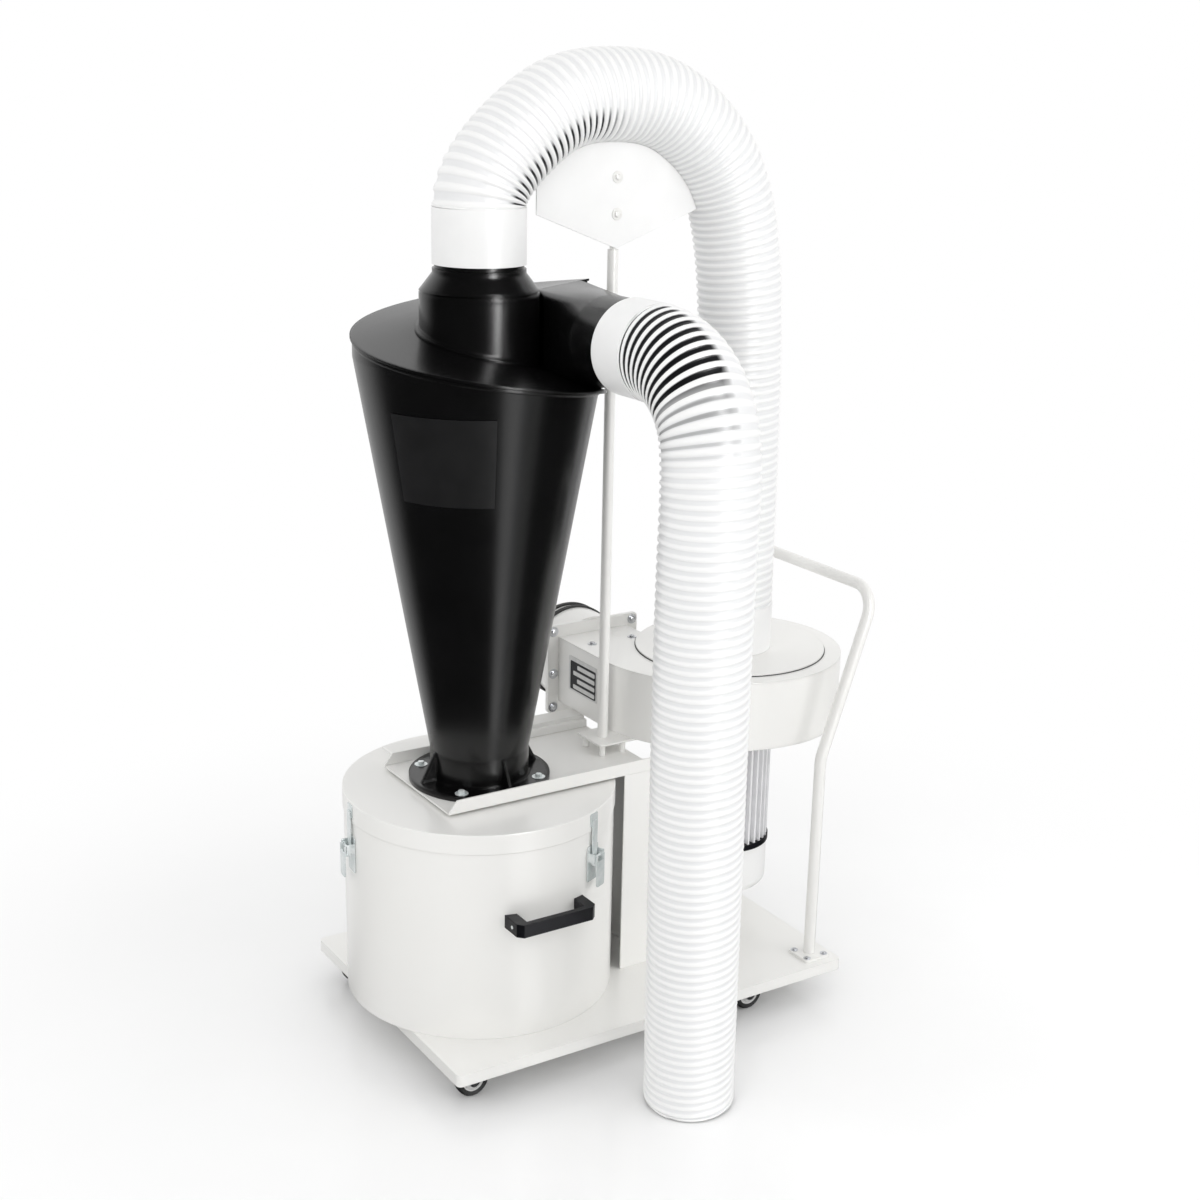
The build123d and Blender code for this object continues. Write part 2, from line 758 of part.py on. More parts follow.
# Suction hose: forward out of the inlet, over a bend and down to just above the floor
hose_bend_y = cuff_front_y - hose_swing
suction_points = [
    (inlet_x, cuff_front_y, inlet_z),
    (inlet_x, cuff_front_y - 36.0, inlet_z),
    (inlet_x - 3.0, cuff_front_y - 101.0, inlet_z - 37.0),
    (inlet_x - 8.0, hose_bend_y + 1.0, inlet_z - 102.0),
    (inlet_x - 14.0, hose_bend_y, inlet_z - 300.0),
    (inlet_x, hose_bend_y + 16.0, inlet_z - 684.0),
    (inlet_x + 21.0, hose_bend_y + 40.0, suction_end_z),
]
with BuildPart() as suction_hose:
    with BuildLine() as suction_path:
        tube_route("suction hose", suction_points)
    with BuildSketch(Plane(origin=suction_points[0], z_dir=(0, -1, 0))):
        Circle(hose_r)
        Circle(hose_r - hose_wall, mode=Mode.SUBTRACT)
    sweep(path=suction_path.wires()[0])

# Fan-shaped saddle plate behind which the pole's post is bolted; its curved edge follows the loop,
# and none of it reaches past the loop's inner side
with BuildLine() as loop_line:
    tube_route("saddle edge", [(x, z, 0) for x, y, z in loop_points])
with BuildSketch() as under_loop:
    with BuildLine():
        add(loop_line.line)
        Line(loop_line.line @ 1, loop_line.line @ 0)
    make_face()
with BuildPart() as hose_saddle:
    with BuildSketch(upright(0, drum_y - post_r - fit_gap)):
        with BuildLine():
            Polyline(
                (pole_x - saddle_left, pole_top_z + saddle_over + saddle_rise),
                (pole_x, pole_top_z + saddle_over),
                (pole_x + saddle_right, pole_top_z + saddle_over + saddle_rise),
                (pole_x + saddle_right, pole_top_z + saddle_top),
                (pole_x - saddle_left, pole_top_z + saddle_top),
                close=True,
            )
        make_face()
        add(under_loop.sketch, mode=Mode.INTERSECT)
        trace(loop_line.line, line_width=2 * (hose_r + seat_gap), mode=Mode.SUBTRACT)
    extrude(amount=saddle_t)

# Blower: a flat scroll of sheet metal on an upright shaft, its outlet duct pointing back
flange_y = shaft_y + duct_reach
duct_left = shaft_x - scroll_r_left
duct_right = duct_left + duct_width
duct_mid_x = (duct_left + duct_right) / 2
duct_mid_z = (scroll_z + scroll_top_z) / 2
left_centre = (shaft_x, shaft_y + scroll_r_left - scroll_r_front)
back_centre = (shaft_x + scroll_r_front - scroll_r_back, shaft_y)
tongue_angle = degrees(acos((duct_right - back_centre[0]) / scroll_r_back))


def scroll_outline(inset):
    """Scroll and duct seen from above, drawn inside the sheet by inset, open at the duct's end."""
    with BuildSketch(mode=Mode.PRIVATE) as outline:
        with BuildLine():
            Line((duct_left, flange_y), (duct_left, left_centre[1]))
            CenterArc(left_centre, scroll_r_left, 180.0, 90.0)
            CenterArc((shaft_x, shaft_y), scroll_r_front, 270.0, 90.0)
            back = CenterArc(back_centre, scroll_r_back, 0.0, tongue_angle)
            Polyline(back @ 1, (duct_right, flange_y), (duct_left, flange_y))
        make_face()
        if inset:
            offset(amount=-inset, mode=Mode.REPLACE)
            with Locations((duct_mid_x, flange_y)):
                Rectangle(duct_width - 2 * inset, 4 * inset)
    return outline.sketch


with BuildPart() as scroll_wall:
    with BuildSketch(Plane.XY.offset(scroll_z + scroll_sheet)):
        add(scroll_outline(0.0))
        add(scroll_outline(scroll_sheet), mode=Mode.SUBTRACT)
    extrude(amount=scroll_height - 2 * scroll_sheet)

with BuildPart() as scroll_bottom:
    with BuildSketch(Plane.XY.offset(scroll_z)):
        add(scroll_outline(0.0))
        with Locations((shaft_x, shaft_y)):
            Circle(shaft_r + shaft_hole_gap, mode=Mode.SUBTRACT)
    extrude(amount=scroll_sheet)

with BuildPart() as scroll_top:
    with BuildSketch(Plane.XY.offset(scroll_top_z - scroll_sheet)):
        add(scroll_outline(0.0))
        with Locations((shaft_x, shaft_y)):
            Circle(eye_r, mode=Mode.SUBTRACT)
    extrude(amount=scroll_sheet)

with BuildPart() as inlet_plate:
    with BuildSketch(Plane.XY.offset(scroll_top_z)):
        with Locations((shaft_x, shaft_y)):
            Circle(inlet_plate_r)
    extrude(amount=inlet_plate_t)
    with BuildSketch(Plane.XY.offset(scroll_top_z)):
        with Locations((shaft_x, shaft_y)):
            Circle(neck_r)
    extrude(amount=spigot_height)
    with BuildSketch(Plane.XY.offset(scroll_top_z)):
        with Locations((shaft_x, shaft_y)):
            Circle(neck_r - scroll_sheet)
    extrude(amount=spigot_height, mode=Mode.SUBTRACT)

outlet_plane = Plane(origin=(duct_mid_x, flange_y, duct_mid_z), x_dir=(1, 0, 0), z_dir=(0, 1, 0))
flange_width = duct_width + 2 * outlet_margin
flange_height = scroll_height + 2 * outlet_margin
with BuildPart() as outlet_flange:
    with BuildSketch(outlet_plane):
        RectangleRounded(flange_width, flange_height, outlet_corner_r)
        Rectangle(duct_width - 2 * scroll_sheet, scroll_height - 2 * scroll_sheet, mode=Mode.SUBTRACT)
        with GridLocations(flange_width - outlet_margin, flange_height - outlet_margin, 2, 2):
            Circle(outlet_bolt_r, mode=Mode.SUBTRACT)
    extrude(amount=outlet_flange_t)

collar_plane = outlet_plane.offset(outlet_flange_t)
with BuildSketch(mode=Mode.PRIVATE) as throat:
    Rectangle(duct_width - 2 * scroll_sheet, scroll_height - 2 * scroll_sheet)
    Circle(collar_r - collar_sheet - throat_step, mode=Mode.INTERSECT)
with BuildPart() as outlet_collar:
    with BuildSketch(collar_plane):
        RectangleRounded(flange_width, flange_height, outlet_corner_r)
        Circle(collar_r)
        add(throat.sketch, mode=Mode.SUBTRACT)
        with GridLocations(flange_width - outlet_margin, flange_height - outlet_margin, 2, 2):
            Circle(outlet_bolt_r, mode=Mode.SUBTRACT)
    extrude(amount=collar_seat_t)
    with BuildSketch(collar_plane):
        Circle(collar_r)
        Circle(collar_r - collar_sheet, mode=Mode.SUBTRACT)
    extrude(amount=collar_length)

with BuildPart() as collar_bands:
    for step in (1, 2):
        with BuildSketch(collar_plane.offset(collar_length - step * band_step)):
            Circle(collar_r + fit_gap + band_t)
            Circle(collar_r + fit_gap, mode=Mode.SUBTRACT)
        extrude(amount=band_width)

# Impeller: a disc with curved blades and a hub on the motor's shaft
impeller_z = scroll_z + scroll_sheet + impeller_clear
with BuildSketch(mode=Mode.PRIVATE) as blade:
    with BuildLine():
        blade_line = RadiusArc((hub_r - blade_set_in, 0), (impeller_r - blade_set_in, 0), blade_r)
        offset(blade_line, amount=impeller_sheet / 2, side=Side.BOTH)
    make_face()
with BuildPart() as impeller:
    with BuildSketch(Plane.XY.offset(impeller_z)):
        with Locations((shaft_x, shaft_y)):
            Circle(impeller_r)
    extrude(amount=impeller_sheet)
    with BuildSketch(Plane.XY.offset(impeller_z)):
        with Locations((shaft_x, shaft_y)):
            Circle(hub_r)
            with PolarLocations(0, blade_count):
                add(blade.sketch)
    extrude(amount=impeller_h)
    with BuildSketch(Plane.XY.offset(impeller_z)):
        with Locations((shaft_x, shaft_y)):
            Circle(shaft_r + fit_gap)
    extrude(amount=impeller_h, mode=Mode.SUBTRACT)

# Motor: a finned frame that hangs under the scroll on the same upright shaft
motor_low_z = scroll_z - motor_length
with BuildPart() as motor_body:
    with BuildSketch(Plane.XY.offset(motor_low_z)):
        with Locations((shaft_x, shaft_y)):
            Circle(motor_r)
            with PolarLocations(motor_r + fin_depth / 2 - fin_root, fin_count):
                Rectangle(fin_depth + 2 * fin_root, fin_t)
    extrude(amount=motor_length)
    with BuildSketch(Plane.XY.offset(scroll_z)):
        with Locations((shaft_x, shaft_y)):
            Circle(shaft_r)
    extrude(amount=impeller_z - scroll_z + impeller_h)

motor_out_r = motor_r + fin_depth
with BuildPart() as motor_ring:
    with BuildSketch(Plane.XY.offset(motor_low_z - motor_ring_h)):
        with Locations((shaft_x, shaft_y)):
            Circle(motor_out_r + motor_ring_out)
    extrude(amount=motor_ring_h)

with BuildPart() as motor_cap:
    with BuildSketch(Plane.XY.offset(motor_low_z - motor_ring_h - motor_cap_length)):
        with Locations((shaft_x, shaft_y)):
            Circle(motor_out_r)
    extrude(amount=motor_cap_length)
    fillet(motor_cap.faces().sort_by(Axis.Z)[0].edges(), motor_cap_round)

# Push handle: one bent tube on two foot plates bolted to the base's blower end
push_x = base_x + base_length / 2 - push_inset
leg_z = base_top + foot_t
push_points = [
    (push_x, base_y - push_half, leg_z),
    (push_x, base_y - push_half, leg_z + push_leg),
    (push_x + push_lean, base_y - push_half, leg_z + push_leg + push_rise),
    (push_x + push_lean, base_y + push_half, leg_z + push_leg + push_rise),
    (push_x, base_y + push_half, leg_z + push_leg),
    (push_x, base_y + push_half, leg_z),
]
with BuildPart() as push_handle:
    with BuildLine() as push_path:
        FilletPolyline(*push_points, radius=[push_bend_r, push_corner_r, push_corner_r, push_bend_r])
    with BuildSketch(Plane(origin=push_points[0], z_dir=(0, 0, 1))):
        Circle(push_tube_r)
        Circle(push_tube_r - push_tube_wall, mode=Mode.SUBTRACT)
    sweep(path=push_path.wires()[0])

with BuildPart() as handle_feet:
    with BuildSketch(Plane.XY.offset(base_top)):
        with Locations((push_x, base_y)):
            with GridLocations(0, 2 * push_half, 1, 2):
                RectangleRounded(foot_size, foot_size, foot_corner_r)
    extrude(amount=foot_t)

pieces = {
    "base_plate": base_plate.part,
    "castor_plates": castor_plates.part,
    "drum_wall": drum_wall.part,
    "drum_bottom": drum_bottom.part,
    "drum_lid": drum_lid.part,
    "dust_seal": dust_seal.part,
    "drum_handle": drum_handle.part,
    "latch_bases": latch_bases.part,
    "latch_hooks": latch_hooks.part,
    "latch_strikes": latch_strikes.part,
    "column": column.part,
    "drum_tray": drum_tray.part,
    "blower_plate": blower_plate.part,
    "support_pole": support_pole.part,
    "pole_post": pole_post.part,
    "cyclone_cone": cyclone_cone.part,
    "cyclone_roof": cyclone_roof.part,
    "cyclone_outlet": cyclone_outlet.part,
    "cyclone_inlet": cyclone_inlet.part,
    "hose_saddle": hose_saddle.part,
    "outlet_cuff": outlet_cuff.part,
    "inlet_cuff": inlet_cuff.part,
    "blower_cuff": blower_cuff.part,
    "loop_hose": loop_hose.part,
    "suction_hose": suction_hose.part,
    "scroll_wall": scroll_wall.part,
    "scroll_top": scroll_top.part,
    "scroll_bottom": scroll_bottom.part,
    "inlet_plate": inlet_plate.part,
    "outlet_flange": outlet_flange.part,
    "outlet_collar": outlet_collar.part,
    "collar_bands": collar_bands.part,
    "impeller": impeller.part,
    "motor_body": motor_body.part,
    "motor_ring": motor_ring.part,
    "motor_cap": motor_cap.part,
    "push_handle": push_handle.part,
    "handle_feet": handle_feet.part,
}
for name, part in castor_forks.items():
    pieces["castor_fork_" + name] = part
for name, part in castor_wheels.items():
    pieces["castor_wheel_" + name] = part
for name, part in latch_levers.items():
    pieces["latch_lever_" + name] = part
for name, part in pieces.items():
    part.label = name
    export_step(part, "parts/" + name + ".step")
    box = part.bounding_box()
    print(name, len(part.solids()), round(part.volume), [round(v, 1) for v in (*box.min, *box.max)])
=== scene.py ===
from bisect import bisect_right
from math import atan2, cos, pi, radians, sin

import bmesh
import bpy
from mathutils import Matrix, Vector


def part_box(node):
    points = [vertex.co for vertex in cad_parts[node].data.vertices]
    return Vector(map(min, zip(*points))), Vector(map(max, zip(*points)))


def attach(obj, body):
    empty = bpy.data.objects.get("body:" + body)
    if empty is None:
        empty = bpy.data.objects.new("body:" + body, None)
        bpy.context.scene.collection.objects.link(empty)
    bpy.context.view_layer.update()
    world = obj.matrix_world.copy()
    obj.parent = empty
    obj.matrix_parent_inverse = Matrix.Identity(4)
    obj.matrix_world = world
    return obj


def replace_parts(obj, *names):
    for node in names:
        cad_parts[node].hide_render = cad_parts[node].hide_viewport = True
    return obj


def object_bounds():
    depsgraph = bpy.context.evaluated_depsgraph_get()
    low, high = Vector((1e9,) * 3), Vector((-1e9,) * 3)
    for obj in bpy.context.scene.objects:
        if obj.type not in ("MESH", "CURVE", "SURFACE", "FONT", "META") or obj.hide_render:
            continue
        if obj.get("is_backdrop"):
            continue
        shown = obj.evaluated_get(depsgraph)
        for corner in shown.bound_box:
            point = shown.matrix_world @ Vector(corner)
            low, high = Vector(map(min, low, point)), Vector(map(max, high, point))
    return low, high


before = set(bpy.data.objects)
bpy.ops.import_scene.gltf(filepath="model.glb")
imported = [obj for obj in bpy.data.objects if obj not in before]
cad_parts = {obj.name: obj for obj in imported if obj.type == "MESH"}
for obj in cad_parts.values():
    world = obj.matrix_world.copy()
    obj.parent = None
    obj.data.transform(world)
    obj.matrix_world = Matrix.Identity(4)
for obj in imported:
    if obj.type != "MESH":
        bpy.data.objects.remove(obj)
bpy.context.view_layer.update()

# Base tray. One steel sheet with its edges folded down, powder coated in a warm off-white. All the
# unit's sheet metal has this coat: a fine orange peel, and edges that the fold leaves slightly round.
COAT_LIGHT = (0.86, 0.855, 0.835, 1)
COAT_DULL = (0.845, 0.84, 0.815, 1)
FOLD_ROUND = 0.0016


def new_material(name, roughness, metallic=0.0, specular=0.5):
    material = bpy.data.materials.new(name)
    material.use_nodes = True
    surface = material.node_tree.nodes["Principled BSDF"]
    surface.inputs["Roughness"].default_value = roughness
    surface.inputs["Metallic"].default_value = metallic
    surface.inputs["Specular IOR Level"].default_value = specular
    return material, surface


def grain(material, scale, detail=3.0):
    """Noise on the object's own coordinates, in features per metre."""
    nodes, links = material.node_tree.nodes, material.node_tree.links
    place = nodes.new("ShaderNodeTexCoord")
    noise = nodes.new("ShaderNodeTexNoise")
    noise.inputs["Scale"].default_value = scale
    noise.inputs["Detail"].default_value = detail
    links.new(place.outputs["Object"], noise.inputs["Vector"])
    return noise.outputs["Fac"]


def tint(material, factor, dark, light, target, start=0.3, end=0.7):
    """Feeds a socket with a colour between two, chosen by factor."""
    nodes, links = material.node_tree.nodes, material.node_tree.links
    ramp = nodes.new("ShaderNodeValToRGB")
    ramp.color_ramp.elements[0].color = dark
    ramp.color_ramp.elements[1].color = light
    ramp.color_ramp.elements[0].position = start
    ramp.color_ramp.elements[1].position = end
    links.new(factor, ramp.inputs["Fac"])
    links.new(ramp.outputs["Color"], target)


def spread(material, factor, low, high, target):
    """Feeds a socket with a number between low and high, chosen by factor."""
    nodes, links = material.node_tree.nodes, material.node_tree.links
    scale = nodes.new("ShaderNodeMapRange")
    scale.inputs["To Min"].default_value = low
    scale.inputs["To Max"].default_value = high
    links.new(factor, scale.inputs["Value"])
    links.new(scale.outputs["Result"], target)


def two_tone(material, surface, scale, dark, light):
    """Base colour that wanders between two shades, in patches per metre."""
    tint(material, grain(material, scale), (*dark, 1), (*light, 1), surface.inputs["Base Color"])


def sheen(material, surface, scale, low, high):
    """Roughness that wanders between two values, in patches per metre."""
    spread(material, grain(material, scale), low, high, surface.inputs["Roughness"])


def dent(material, surface, factor, depth, strength=1.0, edge_round=0.0):
    """Bump of the given depth in metres, over edges that catch the light as if rounded."""
    nodes, links = material.node_tree.nodes, material.node_tree.links
    bump = nodes.new("ShaderNodeBump")
    bump.inputs["Distance"].default_value = depth
    bump.inputs["Strength"].default_value = strength
    links.new(factor, bump.inputs["Height"])
    if edge_round:
        edge = nodes.new("ShaderNodeBevel")
        edge.samples = 4
        edge.inputs["Radius"].default_value = edge_round
        links.new(edge.outputs["Normal"], bump.inputs["Normal"])
    links.new(bump.outputs["Normal"], surface.inputs["Normal"])


def powder_coat():
    material, surface = new_material("powder_coat", 0.3)
    tint(material, grain(material, 3, 2), COAT_DULL, COAT_LIGHT, surface.inputs["Base Color"], 0.2, 0.8)
    sheen(material, surface, 12, 0.26, 0.34)
    dent(material, surface, grain(material, 900, 2), 0.0002, 0.25, FOLD_ROUND)
    surface.inputs["Coat Weight"].default_value = 0.3
    surface.inputs["Coat Roughness"].default_value = 0.08
    return material


def dress(material, slot, *nodes):
    """Gives CAD nodes their finish."""
    for name in nodes:
        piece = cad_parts[name]
        piece.data.materials.clear()
        piece.data.materials.append(material)


coat = powder_coat()
dress(coat, "cream_paint", "base_plate")

# Castors. Zinc-plated pressed forks and plates with a riveted swivel, and black rubber tyres
# on pale moulded hubs that turn on a bolt through the fork.
CORNERS = ("front_left", "front_right", "back_left", "back_right")
TYRE_SEGMENTS = 48
HUB_R = 0.0165
AXLE_HEAD_R = 0.0052
AXLE_HEAD_OUT = 0.0125
AXLE_HEAD_T = 0.003
SEAM = 0.000005


def zinc_plate():
    material, surface = new_material("zinc_plate", 0.32, 1.0)
    two_tone(material, surface, 60, (0.5, 0.51, 0.53), (0.74, 0.75, 0.77))
    sheen(material, surface, 120, 0.2, 0.38)
    return material


def black_rubber():
    material, surface = new_material("black_rubber", 0.6)
    two_tone(material, surface, 80, (0.012, 0.012, 0.012), (0.028, 0.028, 0.028))
    dent(material, surface, grain(material, 700), 0.0003, 0.4)
    return material


def pale_moulding():
    material, surface = new_material("pale_moulding", 0.4)
    two_tone(material, surface, 90, (0.6, 0.6, 0.59), (0.7, 0.7, 0.69))
    dent(material, surface, grain(material, 500), 0.0002, 0.2)
    return material


def settle(shape, name, material, body="root", sharp=35):
    """Turns a finished bmesh into a piece that rides on a body."""
    bmesh.ops.recalc_face_normals(shape, faces=shape.faces)
    for face in shape.faces:
        face.smooth = True
    mesh = bpy.data.meshes.new(name)
    shape.to_mesh(mesh)
    shape.free()
    mesh.set_sharp_from_angle(angle=radians(sharp))
    mesh.materials.append(material)
    piece = bpy.data.objects.new(name, mesh)
    bpy.context.scene.collection.objects.link(piece)
    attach(piece, body)
    return piece


def turned(profile, centre, axis, segments, closed=True):
    """Spins a profile of (radius, distance along the axis) points round an axis."""
    shape = bmesh.new()
    along = Vector(axis).normalized()
    out = along.orthogonal().normalized()
    knots = [shape.verts.new(Vector(centre) + out * r + along * t) for r, t in profile]
    rim = [shape.edges.new(pair) for pair in zip(knots, knots[1:])]
    if closed:
        rim.append(shape.edges.new((knots[-1], knots[0])))
    bmesh.ops.spin(
        shape, geom=knots + rim, cent=centre, axis=along, dvec=(0, 0, 0), angle=2 * pi, steps=segments,
        use_merge=True,
    )
    bmesh.ops.remove_doubles(shape, verts=shape.verts, dist=SEAM)
    return shape


def bolt_heads(places, axis, radius, height, washer=0.0):
    """Hexagon heads with softened edges, each on its washer."""
    shape = bmesh.new()
    turn = Vector((0, 0, 1)).rotation_difference(Vector(axis)).to_matrix().to_4x4()
    for place in places:
        spot = Matrix.Translation(place) @ turn
        if washer:
            bmesh.ops.create_cone(
                shape, cap_ends=True, segments=24, radius1=1.9 * radius, radius2=1.9 * radius, depth=washer,
                matrix=spot @ Matrix.Translation((0, 0, washer / 2)),
            )
        head = bmesh.ops.create_cone(
            shape, cap_ends=True, segments=6, radius1=radius, radius2=radius, depth=height,
            matrix=spot @ Matrix.Translation((0, 0, washer + height / 2)),
        )
        edges = list({edge for vertex in head["verts"] for edge in vertex.link_edges})
        bmesh.ops.bevel(
            shape, geom=edges, offset=0.12 * radius, segments=2, profile=0.5, affect="EDGES", material=-1,
        )
    return shape


def both_sides(points, half):
    """Closed profile from points of (radius, share of the half width) on one side."""
    near = [(r, -share * half) for r, share in points]
    return near + [(r, share * half) for r, share in reversed(points)]


zinc = zinc_plate()
rubber = black_rubber()
pale = pale_moulding()
dress(zinc, "zinc_steel", "castor_plates", *("castor_fork_" + corner for corner in CORNERS))
for corner in CORNERS:
    low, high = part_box("castor_wheel_" + corner)
    middle = (low + high) / 2
    tyre_r, half = (high.z - low.z) / 2, (high.y - low.y) / 2
    crown = ((HUB_R, 0.8), (0.88 * tyre_r, 1), (0.97 * tyre_r, 0.78), (tyre_r, 0.35))
    shape = turned(both_sides(crown, half), middle, (0, 1, 0), TYRE_SEGMENTS)
    tyre = settle(shape, "tyre_" + corner, rubber, "wheel_" + corner)
    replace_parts(tyre, "castor_wheel_" + corner)
    dish = ((0.0042, 1), (0.007, 1), (0.0085, 0.7), (0.0125, 0.62), (0.014, 0.86), (HUB_R, 0.86))
    shape = turned(both_sides(dish, half), middle, (0, 1, 0), TYRE_SEGMENTS)
    settle(shape, "hub_" + corner, pale, "wheel_" + corner)
    for side, name in ((-1, "axle_head_"), (1, "axle_nut_")):
        spot = middle + Vector((0, side * AXLE_HEAD_OUT, 0))
        shape = bolt_heads([spot], (0, side, 0), AXLE_HEAD_R, AXLE_HEAD_T)
        settle(shape, name + corner, zinc, "castor_" + corner)

# Dust drum. A rolled steel cylinder with a pressed bottom and a lid whose skirt laps over it,
# coated like the base, with a soft black seal between the lid and the tray.
dress(coat, "cream_paint", "drum_wall", "drum_bottom", "drum_lid")
dress(rubber, "black_rubber", "dust_seal")

# Drum handle. One black moulding on the drum's front, its bar a flat channel between two ears,
# each ear held by a bright screw from its outer side.
EAR_SCREW_R = 0.0026
EAR_SCREW_OUT = 0.0013
EAR_SCREW_BACK = 0.021
EAR_SCREW_SEGMENTS = 20


def black_moulding():
    material, surface = new_material("black_moulding", 0.4, specular=0.3)
    two_tone(material, surface, 40, (0.003, 0.003, 0.005), (0.007, 0.007, 0.011))
    dent(material, surface, grain(material, 1200), 0.0002, 0.5, 0.002)
    return material


def bright_plate():
    material, surface = new_material("bright_plate", 0.2, 0.4)
    two_tone(material, surface, 90, (0.7, 0.76, 0.76), (0.87, 0.9, 0.9))
    sheen(material, surface, 200, 0.12, 0.28)
    return material


moulding = black_moulding()
plate = bright_plate()
dress(moulding, "black_plastic", "drum_handle")
handle_low, handle_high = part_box("drum_handle")
for side, name in ((-1, "ear_screw_left"), (1, "ear_screw_right")):
    face_x = handle_low.x if side < 0 else handle_high.x
    dome = ((0, 0), (EAR_SCREW_R, 0), (0.9 * EAR_SCREW_R, 0.6 * EAR_SCREW_OUT), (0, EAR_SCREW_OUT))
    spot = (face_x, handle_low.y + EAR_SCREW_BACK, (handle_low.z + handle_high.z) / 2)
    shape = turned(dome, spot, (side, 0, 0), EAR_SCREW_SEGMENTS, closed=False)
    settle(shape, name, plate)

# Toggle latches. Pressed and plated steel, three round the drum: a base, a lever on a pin, a hook
# and the strike on the lid's skirt.
dress(plate, "plated_steel", "latch_bases", "latch_hooks", "latch_strikes")
dress(plate, "plated_steel", "latch_lever_front", "latch_lever_back", "latch_lever_side")

# Column and tray. Folded sheet that carries the cyclone over the drum and the blower behind it,
# with a folded cleat that steadies the duct and a few small bolts.
TRAY_SHEET = 0.0025
CLEAT_HEIGHT = 0.012
CLEAT_DEPTH = 0.026
CLEAT_BACK = 0.228
CLEAT_LEFT = -0.095
CLEAT_RIGHT = 0.0405
CLEAT_SHEET = 0.002
CLEAT_FOLD_R = 0.002
SEATED = 0.0001
TRAY_BOLT = 0.004, 0.003, 0.0008
TRAY_BOLTS = ((-0.285, 0.2245), (-0.135, 0.2245), (0.02, 0.2385))


def block(size, middle):
    """Plain cuboid to be worked on."""
    cuboid = bmesh.new()
    bmesh.ops.create_cube(cuboid, size=1.0)
    bmesh.ops.scale(cuboid, vec=size, verts=cuboid.verts)
    bmesh.ops.translate(cuboid, vec=middle, verts=cuboid.verts)
    return cuboid


dress(coat, "cream_paint", "column", "drum_tray", "blower_plate")
tray_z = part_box("drum_tray")[0].z + TRAY_SHEET
cleat_y = CLEAT_BACK - CLEAT_DEPTH / 2
spot = ((CLEAT_LEFT + CLEAT_RIGHT) / 2, cleat_y, tray_z + CLEAT_HEIGHT / 2 + SEATED)
shape = block((CLEAT_RIGHT - CLEAT_LEFT, CLEAT_DEPTH, CLEAT_HEIGHT), spot)
open_faces = [face for face in shape.faces if face.normal.z < -0.9 or abs(face.normal.x) > 0.9]
bmesh.ops.delete(shape, geom=open_faces, context="FACES")
folds = [edge for edge in shape.edges if len(edge.link_faces) == 2]
bmesh.ops.bevel(
    shape, geom=folds, offset=CLEAT_FOLD_R, segments=3, profile=0.5, affect="EDGES", material=-1,
)
bmesh.ops.recalc_face_normals(shape, faces=shape.faces)
bmesh.ops.solidify(shape, geom=shape.faces, thickness=CLEAT_SHEET)
settle(shape, "duct_cleat", coat)
shape = bolt_heads([(x, y, tray_z) for x, y in TRAY_BOLTS], (0, 0, 1), *TRAY_BOLT)
settle(shape, "tray_bolts", zinc)

# Pole and saddle. A steel tube on the blower's plate, a thinner post plugged into it, and the
# fan-shaped white plate that the loop hose leans on, held to the post by two bolts.
SADDLE_BOLT = 0.0045, 0.003, 0.0008
SADDLE_BOLTS = (1.2678, 1.2163)


def white_moulding():
    material, surface = new_material("white_moulding", 0.32)
    two_tone(material, surface, 20, (0.87, 0.87, 0.865), (0.9, 0.9, 0.895))
    sheen(material, surface, 60, 0.25, 0.4)
    dent(material, surface, grain(material, 500), 0.0002, 0.2, 0.0008)
    return material


white = white_moulding()
dress(coat, "cream_paint", "support_pole", "pole_post")
dress(white, "cream_paint", "hose_saddle")
post_low, post_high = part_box("pole_post")
saddle_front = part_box("hose_saddle")[0].y
post_x = (post_low.x + post_high.x) / 2
shape = bolt_heads([(post_x, saddle_front, z) for z in SADDLE_BOLTS], (0, -1, 0), *SADDLE_BOLT)
settle(shape, "saddle_bolts", coat)

# Cyclone. Rotationally moulded black polymer with a satin skin: a cone under a spiral roof, the
# outlet pipe with its reducer, and an inlet that runs in under the start of the roof.
CONE_FOOT_R, CONE_FOOT_Z = 0.074, 0.445
CONE_TOP_R, CONE_TOP_Z = 0.177, 1.0285
LABEL_FROM, LABEL_TO = radians(-164), radians(-110.5)
LABEL_LOW, LABEL_HIGH = 0.843, 0.968
LABEL_LIFT = 0.0006
NECK_R = 0.084
EDGE_TOP, EDGE_FALL = 1.1225, 0.157
NECK_TOP, NECK_FALL = 1.1105, 0.112
BEAD_R = 0.0045
BEAD_FROM, BEAD_TO = 0.06, 0.98
BEAD_STEPS = 144
BEAD_SEGMENTS = 12
EDGE_BEAD_IN, EDGE_BEAD_DOWN = 0.0033, 0.0034
NECK_BEAD_OUT, NECK_BEAD_UP = 0.0018, 0.0006
SETTLING = 6
FLANGE_T = 0.008
FLANGE_BOLT = 0.0052, 0.0045, 0.0008
FLANGE_BOLT_RING_R = 0.092


def black_polymer():
    material, surface = new_material("black_polymer", 0.25)
    two_tone(material, surface, 14, (0.002, 0.002, 0.0021), (0.0035, 0.0035, 0.0037))
    sheen(material, surface, 25, 0.2, 0.27)
    dent(material, surface, grain(material, 45, 2), 0.0012, 0.06, 0.007)
    return material


def label_film():
    material, surface = new_material("label_film", 0.3, specular=0.7)
    two_tone(material, surface, 30, (0.009, 0.009, 0.0095), (0.012, 0.012, 0.0125))
    sheen(material, surface, 40, 0.26, 0.34)
    return material


def cone_r(z):
    """Outer radius of the cone at a height."""
    share = (z - CONE_FOOT_Z) / (CONE_TOP_Z - CONE_FOOT_Z)
    return CONE_FOOT_R + share * (CONE_TOP_R - CONE_FOOT_R)


